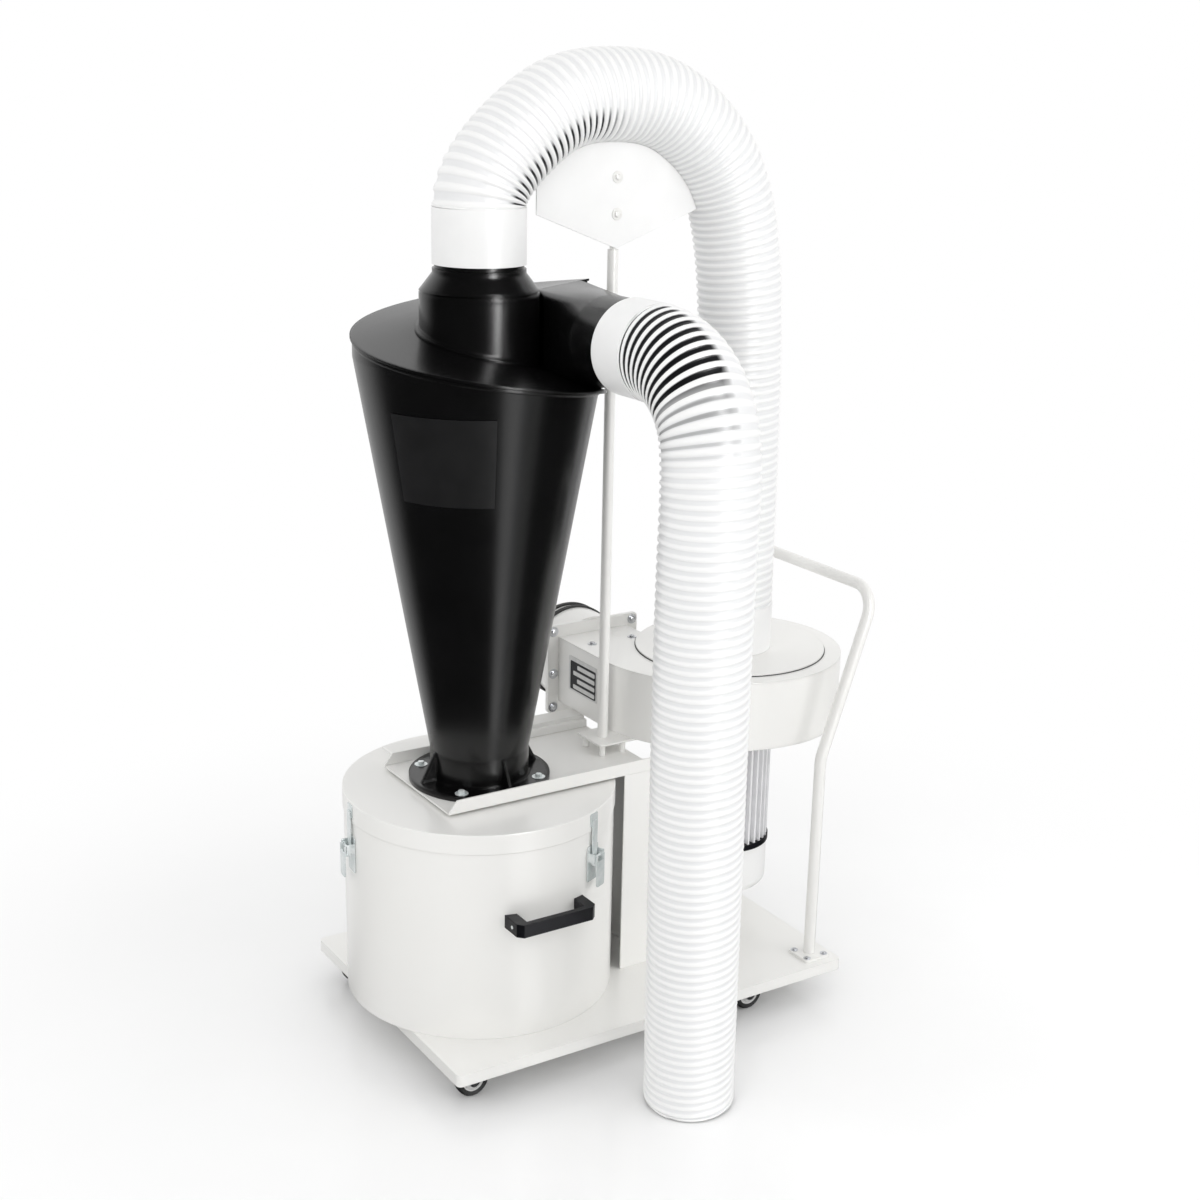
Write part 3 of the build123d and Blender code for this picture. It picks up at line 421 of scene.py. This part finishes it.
polymer = black_polymer()
dress(polymer, "black_polymer", "cyclone_cone", "cyclone_roof", "cyclone_outlet", "cyclone_inlet")
outlet_low, outlet_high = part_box("cyclone_outlet")
axis_x = (outlet_low.x + outlet_high.x) / 2
axis_y = (outlet_low.y + outlet_high.y) / 2
shape = bmesh.new()
bmesh.ops.create_grid(shape, x_segments=24, y_segments=4, size=0.5)
for vertex in shape.verts:
    angle = LABEL_FROM + (vertex.co.x + 0.5) * (LABEL_TO - LABEL_FROM)
    z = LABEL_LOW + (vertex.co.y + 0.5) * (LABEL_HIGH - LABEL_LOW)
    reach = cone_r(z) + LABEL_LIFT
    vertex.co = (axis_x + reach * cos(angle), axis_y + reach * sin(angle), z)
bmesh.ops.recalc_face_normals(shape, faces=shape.faces)
bmesh.ops.solidify(shape, geom=shape.faces, thickness=LABEL_LIFT)
settle(shape, "label_panel", label_film())


def roof_z(turn, r):
    """Height of the spiral roof at a share of its turn and a radius."""
    share = (r - NECK_R) / (CONE_TOP_R - NECK_R)
    top = NECK_TOP + share * (EDGE_TOP - NECK_TOP)
    fall = NECK_FALL + share * (EDGE_FALL - NECK_FALL)
    return top - fall * turn


def edge_bead(turn):
    """Middle of the bead along the roof's edge, where the roof meets the cone."""
    r = CONE_TOP_R
    for _ in range(SETTLING):
        r = min(CONE_TOP_R, cone_r(roof_z(turn, r)))
    return r - EDGE_BEAD_IN, roof_z(turn, r) - EDGE_BEAD_DOWN


def neck_bead(turn):
    """Middle of the bead along the roof's foot, where the roof meets the neck."""
    return NECK_R + NECK_BEAD_OUT, roof_z(turn, NECK_R) + NECK_BEAD_UP


def roof_bead(name, middle):
    """Round bead spun about the cyclone's axis, then let down along the path that middle(turn) gives."""
    bead = bmesh.new()
    first = Matrix.Rotation(2 * pi * BEAD_FROM, 4, "Z") @ Matrix.Translation((CONE_TOP_R, 0, 0))
    upright = Matrix.Rotation(pi / 2, 4, "X")
    bmesh.ops.create_circle(
        bead, cap_ends=False, segments=BEAD_SEGMENTS, radius=BEAD_R, matrix=first @ upright,
    )
    bmesh.ops.spin(
        bead, geom=bead.verts[:] + bead.edges[:], cent=(0, 0, 0), axis=(0, 0, 1), dvec=(0, 0, 0),
        angle=2 * pi * (BEAD_TO - BEAD_FROM), steps=BEAD_STEPS, use_merge=False,
    )
    ends = [edge for edge in bead.edges if edge.is_boundary]
    bmesh.ops.holes_fill(bead, edges=ends, sides=BEAD_SEGMENTS)
    for vertex in bead.verts:
        out = Vector((vertex.co.x, vertex.co.y, 0))
        r, z = middle(atan2(out.y, out.x) % (2 * pi) / (2 * pi))
        reach = r + out.length - CONE_TOP_R
        vertex.co = Vector((axis_x, axis_y, z + vertex.co.z)) + out.normalized() * reach
    settle(bead, name, polymer, sharp=60)


roof_bead("roof_rim_bead", edge_bead)
roof_bead("roof_root_bead", neck_bead)
flange_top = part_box("cyclone_cone")[0].z + FLANGE_T
quarters = [pi / 4 + step * pi / 2 for step in range(4)]
ring = [(FLANGE_BOLT_RING_R * cos(angle), FLANGE_BOLT_RING_R * sin(angle)) for angle in quarters]
spots = [(axis_x + x, axis_y + y, flange_top) for x, y in ring]
settle(bolt_heads(spots, (0, 0, 1), *FLANGE_BOLT), "flange_bolts", plate)

# Cuffs. White moulded sleeves that join the hoses to their spigots. One end is pushed over the
# spigot, and the hose's last turns are screwed into the other.
dress(white, "white_plastic", "outlet_cuff", "inlet_cuff", "blower_cuff")

# Hoses. A plastic-coated wire helix with a thin white film between its turns, 130 mm outside.
# Painted shade greys the valleys between the turns, and paints the folds of the film black on the
# inner side of a bend. Their routes are the frame's own.
HOSE_R = 0.065
FILM = 0.0012
RIB_PITCH = 0.0125
RIB_DEPTH = 0.0028
TURN_STEPS = 44
RIB_RISE = ((0, 1), (0.12, 0.98), (0.22, 0.9), (0.32, 0.2))
RIB = (*RIB_RISE, (0.5, 0), *((1 - share, sunk) for share, sunk in reversed(RIB_RISE)))
WELD = 0.00002
RIB_WHITE = (0.9, 0.9, 0.895, 1)
VALLEY_SHADE_GREY = (0.8, 0.805, 0.81, 1)
FOLD_SHADE_BLACK = (0.004, 0.004, 0.006, 1)
FOLD_SHADE_EDGE = 0.3, 0.8
FOLD_SHADE_SUNK = 0.1, 0.6
CREASE_SHADE_SUNK = 0.86, 1
LOOP_MIDDLE = Vector((0.02, 0.1065, 1.2))


def hose_skin():
    material, surface = new_material("hose_skin", 0.38)
    nodes, links = material.node_tree.nodes, material.node_tree.links
    sag = nodes.new("ShaderNodeAttribute")
    sag.attribute_name = "sag"
    fold_shade = nodes.new("ShaderNodeAttribute")
    fold_shade.attribute_name = "fold_shade"
    blend = nodes.new("ShaderNodeMix")
    blend.data_type = "RGBA"
    blend.inputs["B"].default_value = FOLD_SHADE_BLACK
    # Painted shade: the valleys between the turns go grey with their depth.
    tint(material, sag.outputs["Fac"], RIB_WHITE, VALLEY_SHADE_GREY, blend.inputs["A"], 0.45, 1.0)
    # Painted shade in the folded gaps: the colour goes black where the gap mask is high.
    crisp = nodes.new("ShaderNodeMapRange")
    crisp.inputs["From Min"].default_value, crisp.inputs["From Max"].default_value = FOLD_SHADE_EDGE
    links.new(fold_shade.outputs["Fac"], crisp.inputs["Value"])
    links.new(crisp.outputs["Result"], blend.inputs["Factor"])
    links.new(blend.outputs["Result"], surface.inputs["Base Color"])
    sheen(material, surface, 60, 0.3, 0.46)
    return material


def route_points(points):
    """Points along a smooth line through a hose's route."""
    line = bpy.data.curves.new("route", "CURVE")
    line.dimensions = "3D"
    line.resolution_u = 24
    spline = line.splines.new("NURBS")
    spline.points.add(len(points) - 1)
    for knot, point in zip(spline.points, points):
        knot.co = (*point, 1)
    spline.use_endpoint_u = True
    spline.order_u = 3
    holder = bpy.data.objects.new("route", line)
    mesh = bpy.data.meshes.new_from_object(holder)
    found = [vertex.co.copy() for vertex in mesh.vertices]
    bpy.data.objects.remove(holder)
    bpy.data.meshes.remove(mesh)
    return found


def straight_sleeve(turns, pitch):
    """One turn of the ribbed wall, spun along X and repeated by an array."""
    shape = bmesh.new()
    knots = [shape.verts.new((share * pitch, 0, HOSE_R - RIB_DEPTH * sunk)) for share, sunk in RIB]
    strip = [shape.edges.new(pair) for pair in zip(knots, knots[1:])]
    bmesh.ops.spin(
        shape, geom=knots + strip, cent=(0, 0, 0), axis=(1, 0, 0), dvec=(pitch / TURN_STEPS, 0, 0),
        angle=2 * pi, steps=TURN_STEPS, use_merge=False,
    )
    mesh = bpy.data.meshes.new("turn")
    shape.to_mesh(mesh)
    shape.free()
    holder = bpy.data.objects.new("turn", mesh)
    bpy.context.scene.collection.objects.link(holder)
    repeat = holder.modifiers.new("repeat", "ARRAY")
    repeat.count = turns
    repeat.use_relative_offset = False
    repeat.use_constant_offset = True
    repeat.constant_offset_displace = (pitch, 0, 0)
    sleeve = bpy.data.meshes.new_from_object(holder.evaluated_get(bpy.context.evaluated_depsgraph_get()))
    bpy.data.objects.remove(holder)
    bpy.data.meshes.remove(mesh)
    return sleeve


def ease(value, low, high):
    """0 below low, 1 above high, smooth between."""
    share = min(max((value - low) / (high - low), 0.0), 1.0)
    return share * share * (3 - 2 * share)


def ribbed_hose(name, points, painted_shade):
    """Bends a ribbed sleeve along a route. The shading function it is given, called with (run, out,
    centre), sets painted shade for wide gaps and thin folds.

    run is the distance along the hose in metres, out points from its middle line to the wall.
    """
    stops = route_points(points)
    reach = [0.0]
    for before, after in zip(stops, stops[1:]):
        reach.append(reach[-1] + (after - before).length)
    length = reach[-1]
    turns = round(length / RIB_PITCH)
    pitch = length / turns
    sides, overs = [], []
    for index in range(len(stops)):
        behind, beyond = stops[max(index - 1, 0)], stops[min(index + 1, len(stops) - 1)]
        ahead = (beyond - behind).normalized()
        side = sides[-1] if sides else ahead.orthogonal()
        sides.append((side - ahead * side.dot(ahead)).normalized())
        overs.append(ahead.cross(sides[-1]))
    shape = bmesh.new()
    shape.from_mesh(straight_sleeve(turns + 2, pitch))
    bmesh.ops.remove_doubles(shape, verts=shape.verts, dist=WELD)
    sag = shape.verts.layers.float.new("sag")
    fold_shade = shape.verts.layers.float.new("fold_shade")
    for vertex in shape.verts:
        run = min(max(vertex.co.x - 1.5 * pitch, 0.0), length)
        spot = min(bisect_right(reach, run), len(reach) - 1) - 1
        share = (run - reach[spot]) / (reach[spot + 1] - reach[spot])
        side = sides[spot].lerp(sides[spot + 1], share).normalized()
        over = overs[spot].lerp(overs[spot + 1], share).normalized()
        out = side * vertex.co.y + over * vertex.co.z
        sunk = (HOSE_R - out.length) / RIB_DEPTH
        vertex[sag] = sunk
        centre = stops[spot].lerp(stops[spot + 1], share)
        # Painted shade of the gaps, strongest deep in the valleys.
        wide, thin = painted_shade(run, out.normalized(), centre)
        vertex[fold_shade] = max(wide * ease(sunk, *FOLD_SHADE_SUNK), thin * ease(sunk, *CREASE_SHADE_SUNK))
        vertex.co = centre + out
    bmesh.ops.dissolve_degenerate(shape, edges=shape.edges, dist=WELD)
    piece = settle(shape, name, skin, sharp=180)
    wall = piece.modifiers.new("film", "SOLIDIFY")
    wall.thickness = FILM
    wall.offset = -1
    return piece


def loop_fold_shade(run, out, centre):
    """Painted shade in the folds on the inner side of the bend, from the cyclone's cuff to the crown."""
    inner = out.dot((LOOP_MIDDLE - centre).normalized())
    return 0, ease(inner, -0.05, 0.5) * (1 - 0.75 * ease(run, 0.2, 0.3))


def suction_fold_shade(run, out, centre):
    """Painted shade in the gaps beside the inlet's cuff, on the side towards the cyclone."""
    left = ease(-out.x, -0.35, 0.1)
    return left * (1 - ease(run, 0.1, 0.16)), 0.6 * left * (1 - ease(run, 0.14, 0.26))


skin = hose_skin()
end_low, end_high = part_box("blower_cuff")
start_z, end_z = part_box("outlet_cuff")[1].z, end_high.z
shaft_x = (end_low.x + end_high.x) / 2
loop_route = [
    (axis_x, axis_y, start_z),
    (axis_x, axis_y, start_z + 0.036),
    (axis_x + 0.094, axis_y, start_z + 0.122),
    (axis_x + 0.167, axis_y, start_z + 0.150),
    (axis_x + 0.293, axis_y, start_z + 0.146),
    (shaft_x - 0.064, axis_y, start_z + 0.069),
    (shaft_x - 0.015, axis_y, start_z - 0.054),
    (shaft_x, axis_y, start_z - 0.291),
    (shaft_x, axis_y, end_z),
]
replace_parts(ribbed_hose("loop_hose_ribbed", loop_route, loop_fold_shade), "loop_hose")
inlet_low, inlet_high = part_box("inlet_cuff")
inlet_x, inlet_z = (inlet_low.x + inlet_high.x) / 2, (inlet_low.z + inlet_high.z) / 2
suction_route = [
    (inlet_x, inlet_low.y, inlet_z),
    (inlet_x, inlet_low.y - 0.036, inlet_z),
    (inlet_x - 0.003, inlet_low.y - 0.101, inlet_z - 0.037),
    (inlet_x - 0.008, inlet_low.y - 0.138, inlet_z - 0.102),
    (inlet_x - 0.014, inlet_low.y - 0.139, inlet_z - 0.300),
    (inlet_x, inlet_low.y - 0.123, inlet_z - 0.684),
    (inlet_x + 0.021, inlet_low.y - 0.099, 0.009),
]
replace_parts(ribbed_hose("suction_hose_ribbed", suction_route, suction_fold_shade), "suction_hose")

# Blower. A flat scroll of coated sheet steel, its round inlet plate over a thin black ring that paints
# the shadow line under the plate's edge, with a duct to a bolted flange and a collar that two black
# bands grip. A plain data plate is on the duct.
SHADOW_RING_T = 0.0012
SHADOW_RING_OUT = 0.0012
SHADOW_RING_IN = 0.004
SHADOW_RING_SEGMENTS = 128
DUCT_BOLT = 0.0045, 0.0032, 0.0008
DUCT_BOLT_X = 0.076
DUCT_BOLT_Z = (0.065, -0.007, -0.065)
SCROLL_SCREW = 0.004, 0.003, 0.0008
SCROLL_SCREWS = ((0.0608, 0.2217), (0.1375, 0.2217))
DATA_NEAR, DATA_FAR = 0.1615, 0.2455
DATA_LOW, DATA_HIGH = 0.4465, 0.5045
DATA_T, FIELD_T, SPACE_T = 0.0008, 0.0003, 0.0002
PANEL_CORNER_R = 0.002
FIELD_EDGE = 0.003
FIELD_FAR, FIELD_OVER = 0.005, 0.007
SPACES = 4
SPACE_NEAR, SPACE_FAR, SPACE_OVER = 0.006, 0.026, 0.011
SPACE_LONGER = 0.012
SPACE_HEIGHT, SPACE_STEP = 0.007, 0.0115
dress(coat, "cream_paint", "scroll_wall", "scroll_top", "scroll_bottom", "inlet_plate")
dress(coat, "cream_paint", "outlet_flange", "outlet_collar")
dress(rubber, "black_rubber", "collar_bands")
eye_low, eye_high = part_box("inlet_plate")
eye_r = (eye_high.x - eye_low.x) / 2
inner, outer = eye_r - SHADOW_RING_IN, eye_r + SHADOW_RING_OUT
ring = ((inner, 0), (outer, 0), (outer, SHADOW_RING_T), (inner, SHADOW_RING_T))
spot = ((eye_low.x + eye_high.x) / 2, (eye_low.y + eye_high.y) / 2, eye_low.z)
# Painted shadow: a thin black ring under the inlet plate's edge.
settle(turned(ring, spot, (0, 0, 1), SHADOW_RING_SEGMENTS), "inlet_shadow_ring", rubber)
flange_low, flange_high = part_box("outlet_flange")
duct_x, duct_z = (flange_low.x + flange_high.x) / 2, (flange_low.z + flange_high.z) / 2
columns = [duct_x + side * DUCT_BOLT_X for side in (-1, 1)]
spots = [(x, flange_low.y, duct_z + up) for x in columns for up in DUCT_BOLT_Z]
settle(bolt_heads(spots, (0, -1, 0), *DUCT_BOLT), "duct_flange_bolts", zinc)
scroll_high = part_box("scroll_top")[1].z
spots = [(x, y, scroll_high) for x, y in SCROLL_SCREWS]
settle(bolt_heads(spots, (0, 0, 1), *SCROLL_SCREW), "scroll_screws", zinc)


def side_plate(name, low, high, under, thickness, material):
    """Thin panel with rounded corners on the duct's left side, from a low to a high (y, z) corner."""
    (near, foot), (far, top) = low, high
    middle = (duct_side_x - under - thickness / 2, (near + far) / 2, (foot + top) / 2)
    panel = block((thickness, far - near, top - foot), middle)
    corners = [edge for edge in panel.edges if abs(edge.verts[0].co.x - edge.verts[1].co.x) > thickness / 2]
    bmesh.ops.bevel(
        panel, geom=corners, offset=PANEL_CORNER_R, segments=3, profile=0.5, affect="EDGES", material=-1,
    )
    settle(panel, name, material)


duct_side_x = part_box("scroll_wall")[0].x
side_plate("data_plate", (DATA_NEAR, DATA_LOW), (DATA_FAR, DATA_HIGH), 0, DATA_T, pale)
low = DATA_NEAR + FIELD_EDGE, DATA_LOW + FIELD_EDGE
high = DATA_FAR - FIELD_FAR, DATA_HIGH - FIELD_OVER
side_plate("data_field", low, high, DATA_T, FIELD_T, moulding)
for row in range(SPACES):
    top = DATA_HIGH - SPACE_OVER - row * SPACE_STEP
    far = DATA_FAR - SPACE_FAR + SPACE_LONGER * (row % 2)
    low, high = (DATA_NEAR + SPACE_NEAR, top - SPACE_HEIGHT), (far, top)
    side_plate("data_space_%d" % row, low, high, DATA_T + FIELD_T, SPACE_T, pale)


# Impeller. Cast in one from a light alloy, with curved blades. It sits on the motor's shaft
# inside the scroll.
def cast_alloy():
    material, surface = new_material("cast_alloy", 0.45, 1.0)
    two_tone(material, surface, 70, (0.4, 0.4, 0.41), (0.56, 0.56, 0.57))
    sheen(material, surface, 200, 0.35, 0.55)
    dent(material, surface, grain(material, 500), 0.0003, 0.3)
    return material


dress(cast_alloy(), "cast_alloy", "impeller")


# Motor. It hangs under the scroll: a cast housing with upright fins in light grey enamel, a black
# moulded ring and a white moulded end cap below it.
def grey_enamel():
    material, surface = new_material("grey_enamel", 0.38)
    two_tone(material, surface, 30, (0.78, 0.78, 0.79), (0.83, 0.83, 0.84))
    dent(material, surface, grain(material, 600), 0.0002, 0.3)
    return material


dress(grey_enamel(), "motor_grey", "motor_body")
dress(moulding, "black_plastic", "motor_ring")
dress(white, "white_plastic", "motor_cap")

# Push handle. One bent steel tube welded to two foot plates, each bolted down at its corners and
# coated like the base.
FOOT_BOLT = 0.0032, 0.0024, 0.0006
FOOT_BOLT_OUT = 0.0165
dress(coat, "cream_paint", "push_handle", "handle_feet")
feet_low, feet_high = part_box("handle_feet")
foot_half = (feet_high.x - feet_low.x) / 2
spots = [
    (feet_low.x + foot_half + across * FOOT_BOLT_OUT, foot_y + along * FOOT_BOLT_OUT, feet_high.z)
    for foot_y in (feet_low.y + foot_half, feet_high.y - foot_half)
    for across in (-1, 1)
    for along in (-1, 1)
]
settle(bolt_heads(spots, (0, 0, 1), *FOOT_BOLT), "foot_bolts", zinc)

# Studio. A pale glossy floor that fades into a white background, soft lamps with a dark room
# behind them, and the photograph's view.
VIEW_FROM = Vector((-1.41825, -2.0944, 1.434))
HEADING = radians(32.23)
DROP = radians(17.33)
ROLL = radians(1.02)
LENS = 53.787
SHIFT_X, SHIFT_Y = 0.01433, 0.01117
ahead = Vector((sin(HEADING) * cos(DROP), cos(HEADING) * cos(DROP), -sin(DROP)))
right = Vector((cos(HEADING), -sin(HEADING), 0))
over = right.cross(ahead)
right, over = right * cos(ROLL) + over * sin(ROLL), over * cos(ROLL) - right * sin(ROLL)
camera = bpy.data.objects.new("camera", bpy.data.cameras.new("camera"))
camera.data.lens = LENS
camera.data.shift_x = SHIFT_X
camera.data.shift_y = SHIFT_Y
turn = Matrix((right, over, -ahead)).transposed().to_4x4()
camera.matrix_world = Matrix.Translation(VIEW_FROM) @ turn
bpy.context.scene.collection.objects.link(camera)
bpy.context.scene.camera = camera
bpy.context.scene.view_settings.view_transform = "Standard"

FLOOR_R = 12
FLOOR_SEGMENTS = 64
FADE_FROM, FADE_TO = 0.5, 1.5
BRIGHT_SIDE = (sin(radians(20)), cos(radians(20)), 0)
BRIGHT_FROM, BRIGHT_TO = 0.2, 0.75
LAMP_SIDE = (0.12, -0.993, 0)
LAMP_FROM, LAMP_TO = 0.96, 0.995


def vector_step(nodes, links, operation, source, second=None):
    """One sum on a vector, with a fixed second vector where it needs one."""
    step = nodes.new("ShaderNodeVectorMath")
    step.operation = operation
    links.new(source, step.inputs[0])
    if second:
        step.inputs[1].default_value = second
    return step


def smooth_step(nodes, links, source, start, end, low=0.0, high=1.0):
    """Smooth rise from low to high while the source goes from start to end."""
    rise = nodes.new("ShaderNodeMapRange")
    rise.interpolation_type = "SMOOTHSTEP"
    for socket, value in zip(("From Min", "From Max", "To Min", "To Max"), (start, end, low, high)):
        rise.inputs[socket].default_value = value
    links.new(source, rise.inputs["Value"])
    return rise.outputs["Result"]


def number_step(nodes, links, operation, first, second):
    """One sum on two numbers."""
    step = nodes.new("ShaderNodeMath")
    step.operation = operation
    links.new(first, step.inputs[0])
    links.new(second, step.inputs[1])
    return step.outputs["Value"]


def choose(nodes, links, factor, first, second):
    """The second shader where factor is 1, else the first."""
    mixer = nodes.new("ShaderNodeMixShader")
    links.new(factor, mixer.inputs["Fac"])
    links.new(first, mixer.inputs[1])
    links.new(second, mixer.inputs[2])
    return mixer.outputs["Shader"]


def paper_floor():
    """Glossy white that the camera sees fade out. Glossy pieces see it as a painted glow instead: dark but
    for one side, with a painted streak of lamp light towards the strip lamp.
    """
    material, surface = new_material("floor", 0.16, specular=0.35)
    two_tone(material, surface, 2, (0.9, 0.9, 0.9), (0.93, 0.93, 0.93))
    nodes, links = material.node_tree.nodes, material.node_tree.links
    seen = nodes.new("ShaderNodeLightPath")
    place = nodes.new("ShaderNodeTexCoord").outputs["Object"]
    away = vector_step(nodes, links, "LENGTH", place)
    fade = smooth_step(nodes, links, away.outputs["Value"], FADE_FROM, FADE_TO)
    faded = number_step(nodes, links, "MULTIPLY", seen.outputs["Is Camera Ray"], fade)
    paper = nodes.new("ShaderNodeEmission")
    direct = choose(nodes, links, faded, surface.outputs["BSDF"], paper.outputs["Emission"])
    around = vector_step(nodes, links, "SUBTRACT", place, (axis_x, axis_y, 0))
    outward = vector_step(nodes, links, "NORMALIZE", around.outputs["Vector"]).outputs["Vector"]
    # Painted reflection: for glossy rays the floor glows dark, brighter on one side.
    behind = vector_step(nodes, links, "DOT_PRODUCT", outward, BRIGHT_SIDE)
    dusk = smooth_step(nodes, links, behind.outputs["Value"], BRIGHT_FROM, BRIGHT_TO, 0.03, 0.8)
    # Painted lamp light: a bright streak on the floor towards the strip lamp, seen only in glossy
    # reflections.
    streak = vector_step(nodes, links, "DOT_PRODUCT", outward, LAMP_SIDE)
    painted_lamp_streak = smooth_step(nodes, links, streak.outputs["Value"], LAMP_FROM, LAMP_TO, 0, 1.6)
    painted_glow = nodes.new("ShaderNodeEmission")
    links.new(number_step(nodes, links, "ADD", dusk, painted_lamp_streak), painted_glow.inputs["Strength"])
    mixed = choose(nodes, links, seen.outputs["Is Glossy Ray"], direct, painted_glow.outputs["Emission"])
    links.new(mixed, nodes["Material Output"].inputs["Surface"])
    return material


ground = bmesh.new()
bmesh.ops.create_circle(ground, cap_ends=True, radius=FLOOR_R, segments=FLOOR_SEGMENTS)
floor_mesh = bpy.data.meshes.new("floor")
ground.to_mesh(floor_mesh)
ground.free()
floor = bpy.data.objects.new("floor", floor_mesh)
bpy.context.scene.collection.objects.link(floor)
floor.data.materials.append(paper_floor())
floor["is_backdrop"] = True

LOOK_AT = Vector((0, 0, 0.7))


def lamp(name, spot, width, height, power, mirrored):
    """Soft lamp towards the unit's middle. A mirrored one only makes highlights, the others none."""
    light = bpy.data.lights.new(name, "AREA")
    light.shape = "RECTANGLE"
    light.size = width
    light.size_y = height
    light.energy = power
    holder = bpy.data.objects.new(name, light)
    holder.location = spot
    holder.rotation_euler = (LOOK_AT - Vector(spot)).to_track_quat("-Z", "Y").to_euler()
    holder.visible_camera = False
    holder.visible_glossy = mirrored
    holder.visible_diffuse = not mirrored
    bpy.context.scene.collection.objects.link(holder)


lamp("key", (-2.6, -2.4, 2.0), 2.2, 2.2, 26, False)
lamp("fill", (2.2, -2.6, 1.4), 2.2, 2.2, 30, False)
lamp("strip", (0.2, -3.2, 2.2), 0.7, 3.8, 150, True)

DAYLIGHT = 0.97
WHITE = (1, 1, 1, 1)
world = bpy.data.worlds.new("studio")
bpy.context.scene.world = world
world.use_nodes = True
nodes, links = world.node_tree.nodes, world.node_tree.links
seen = nodes.new("ShaderNodeLightPath")
daylight = nodes["Background"]
daylight.inputs["Strength"].default_value = DAYLIGHT
room = nodes.new("ShaderNodeBackground")
backdrop = nodes.new("ShaderNodeBackground")
for shade in (daylight, room, backdrop):
    shade.inputs["Color"].default_value = WHITE
heading = nodes.new("ShaderNodeTexCoord").outputs["Generated"]
facing = vector_step(nodes, links, "DOT_PRODUCT", heading, BRIGHT_SIDE)
bright = smooth_step(nodes, links, facing.outputs["Value"], BRIGHT_FROM, BRIGHT_TO, 0.02, 1.0)
links.new(bright, room.inputs["Strength"])
glossy, clear = seen.outputs["Is Glossy Ray"], seen.outputs["Is Transmission Ray"]
mirrored = number_step(nodes, links, "MAXIMUM", glossy, clear)
unseen = choose(nodes, links, mirrored, daylight.outputs["Background"], room.outputs["Background"])
sky = choose(nodes, links, seen.outputs["Is Camera Ray"], unseen, backdrop.outputs["Background"])
links.new(sky, nodes["World Output"].inputs["Surface"])

low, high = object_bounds()
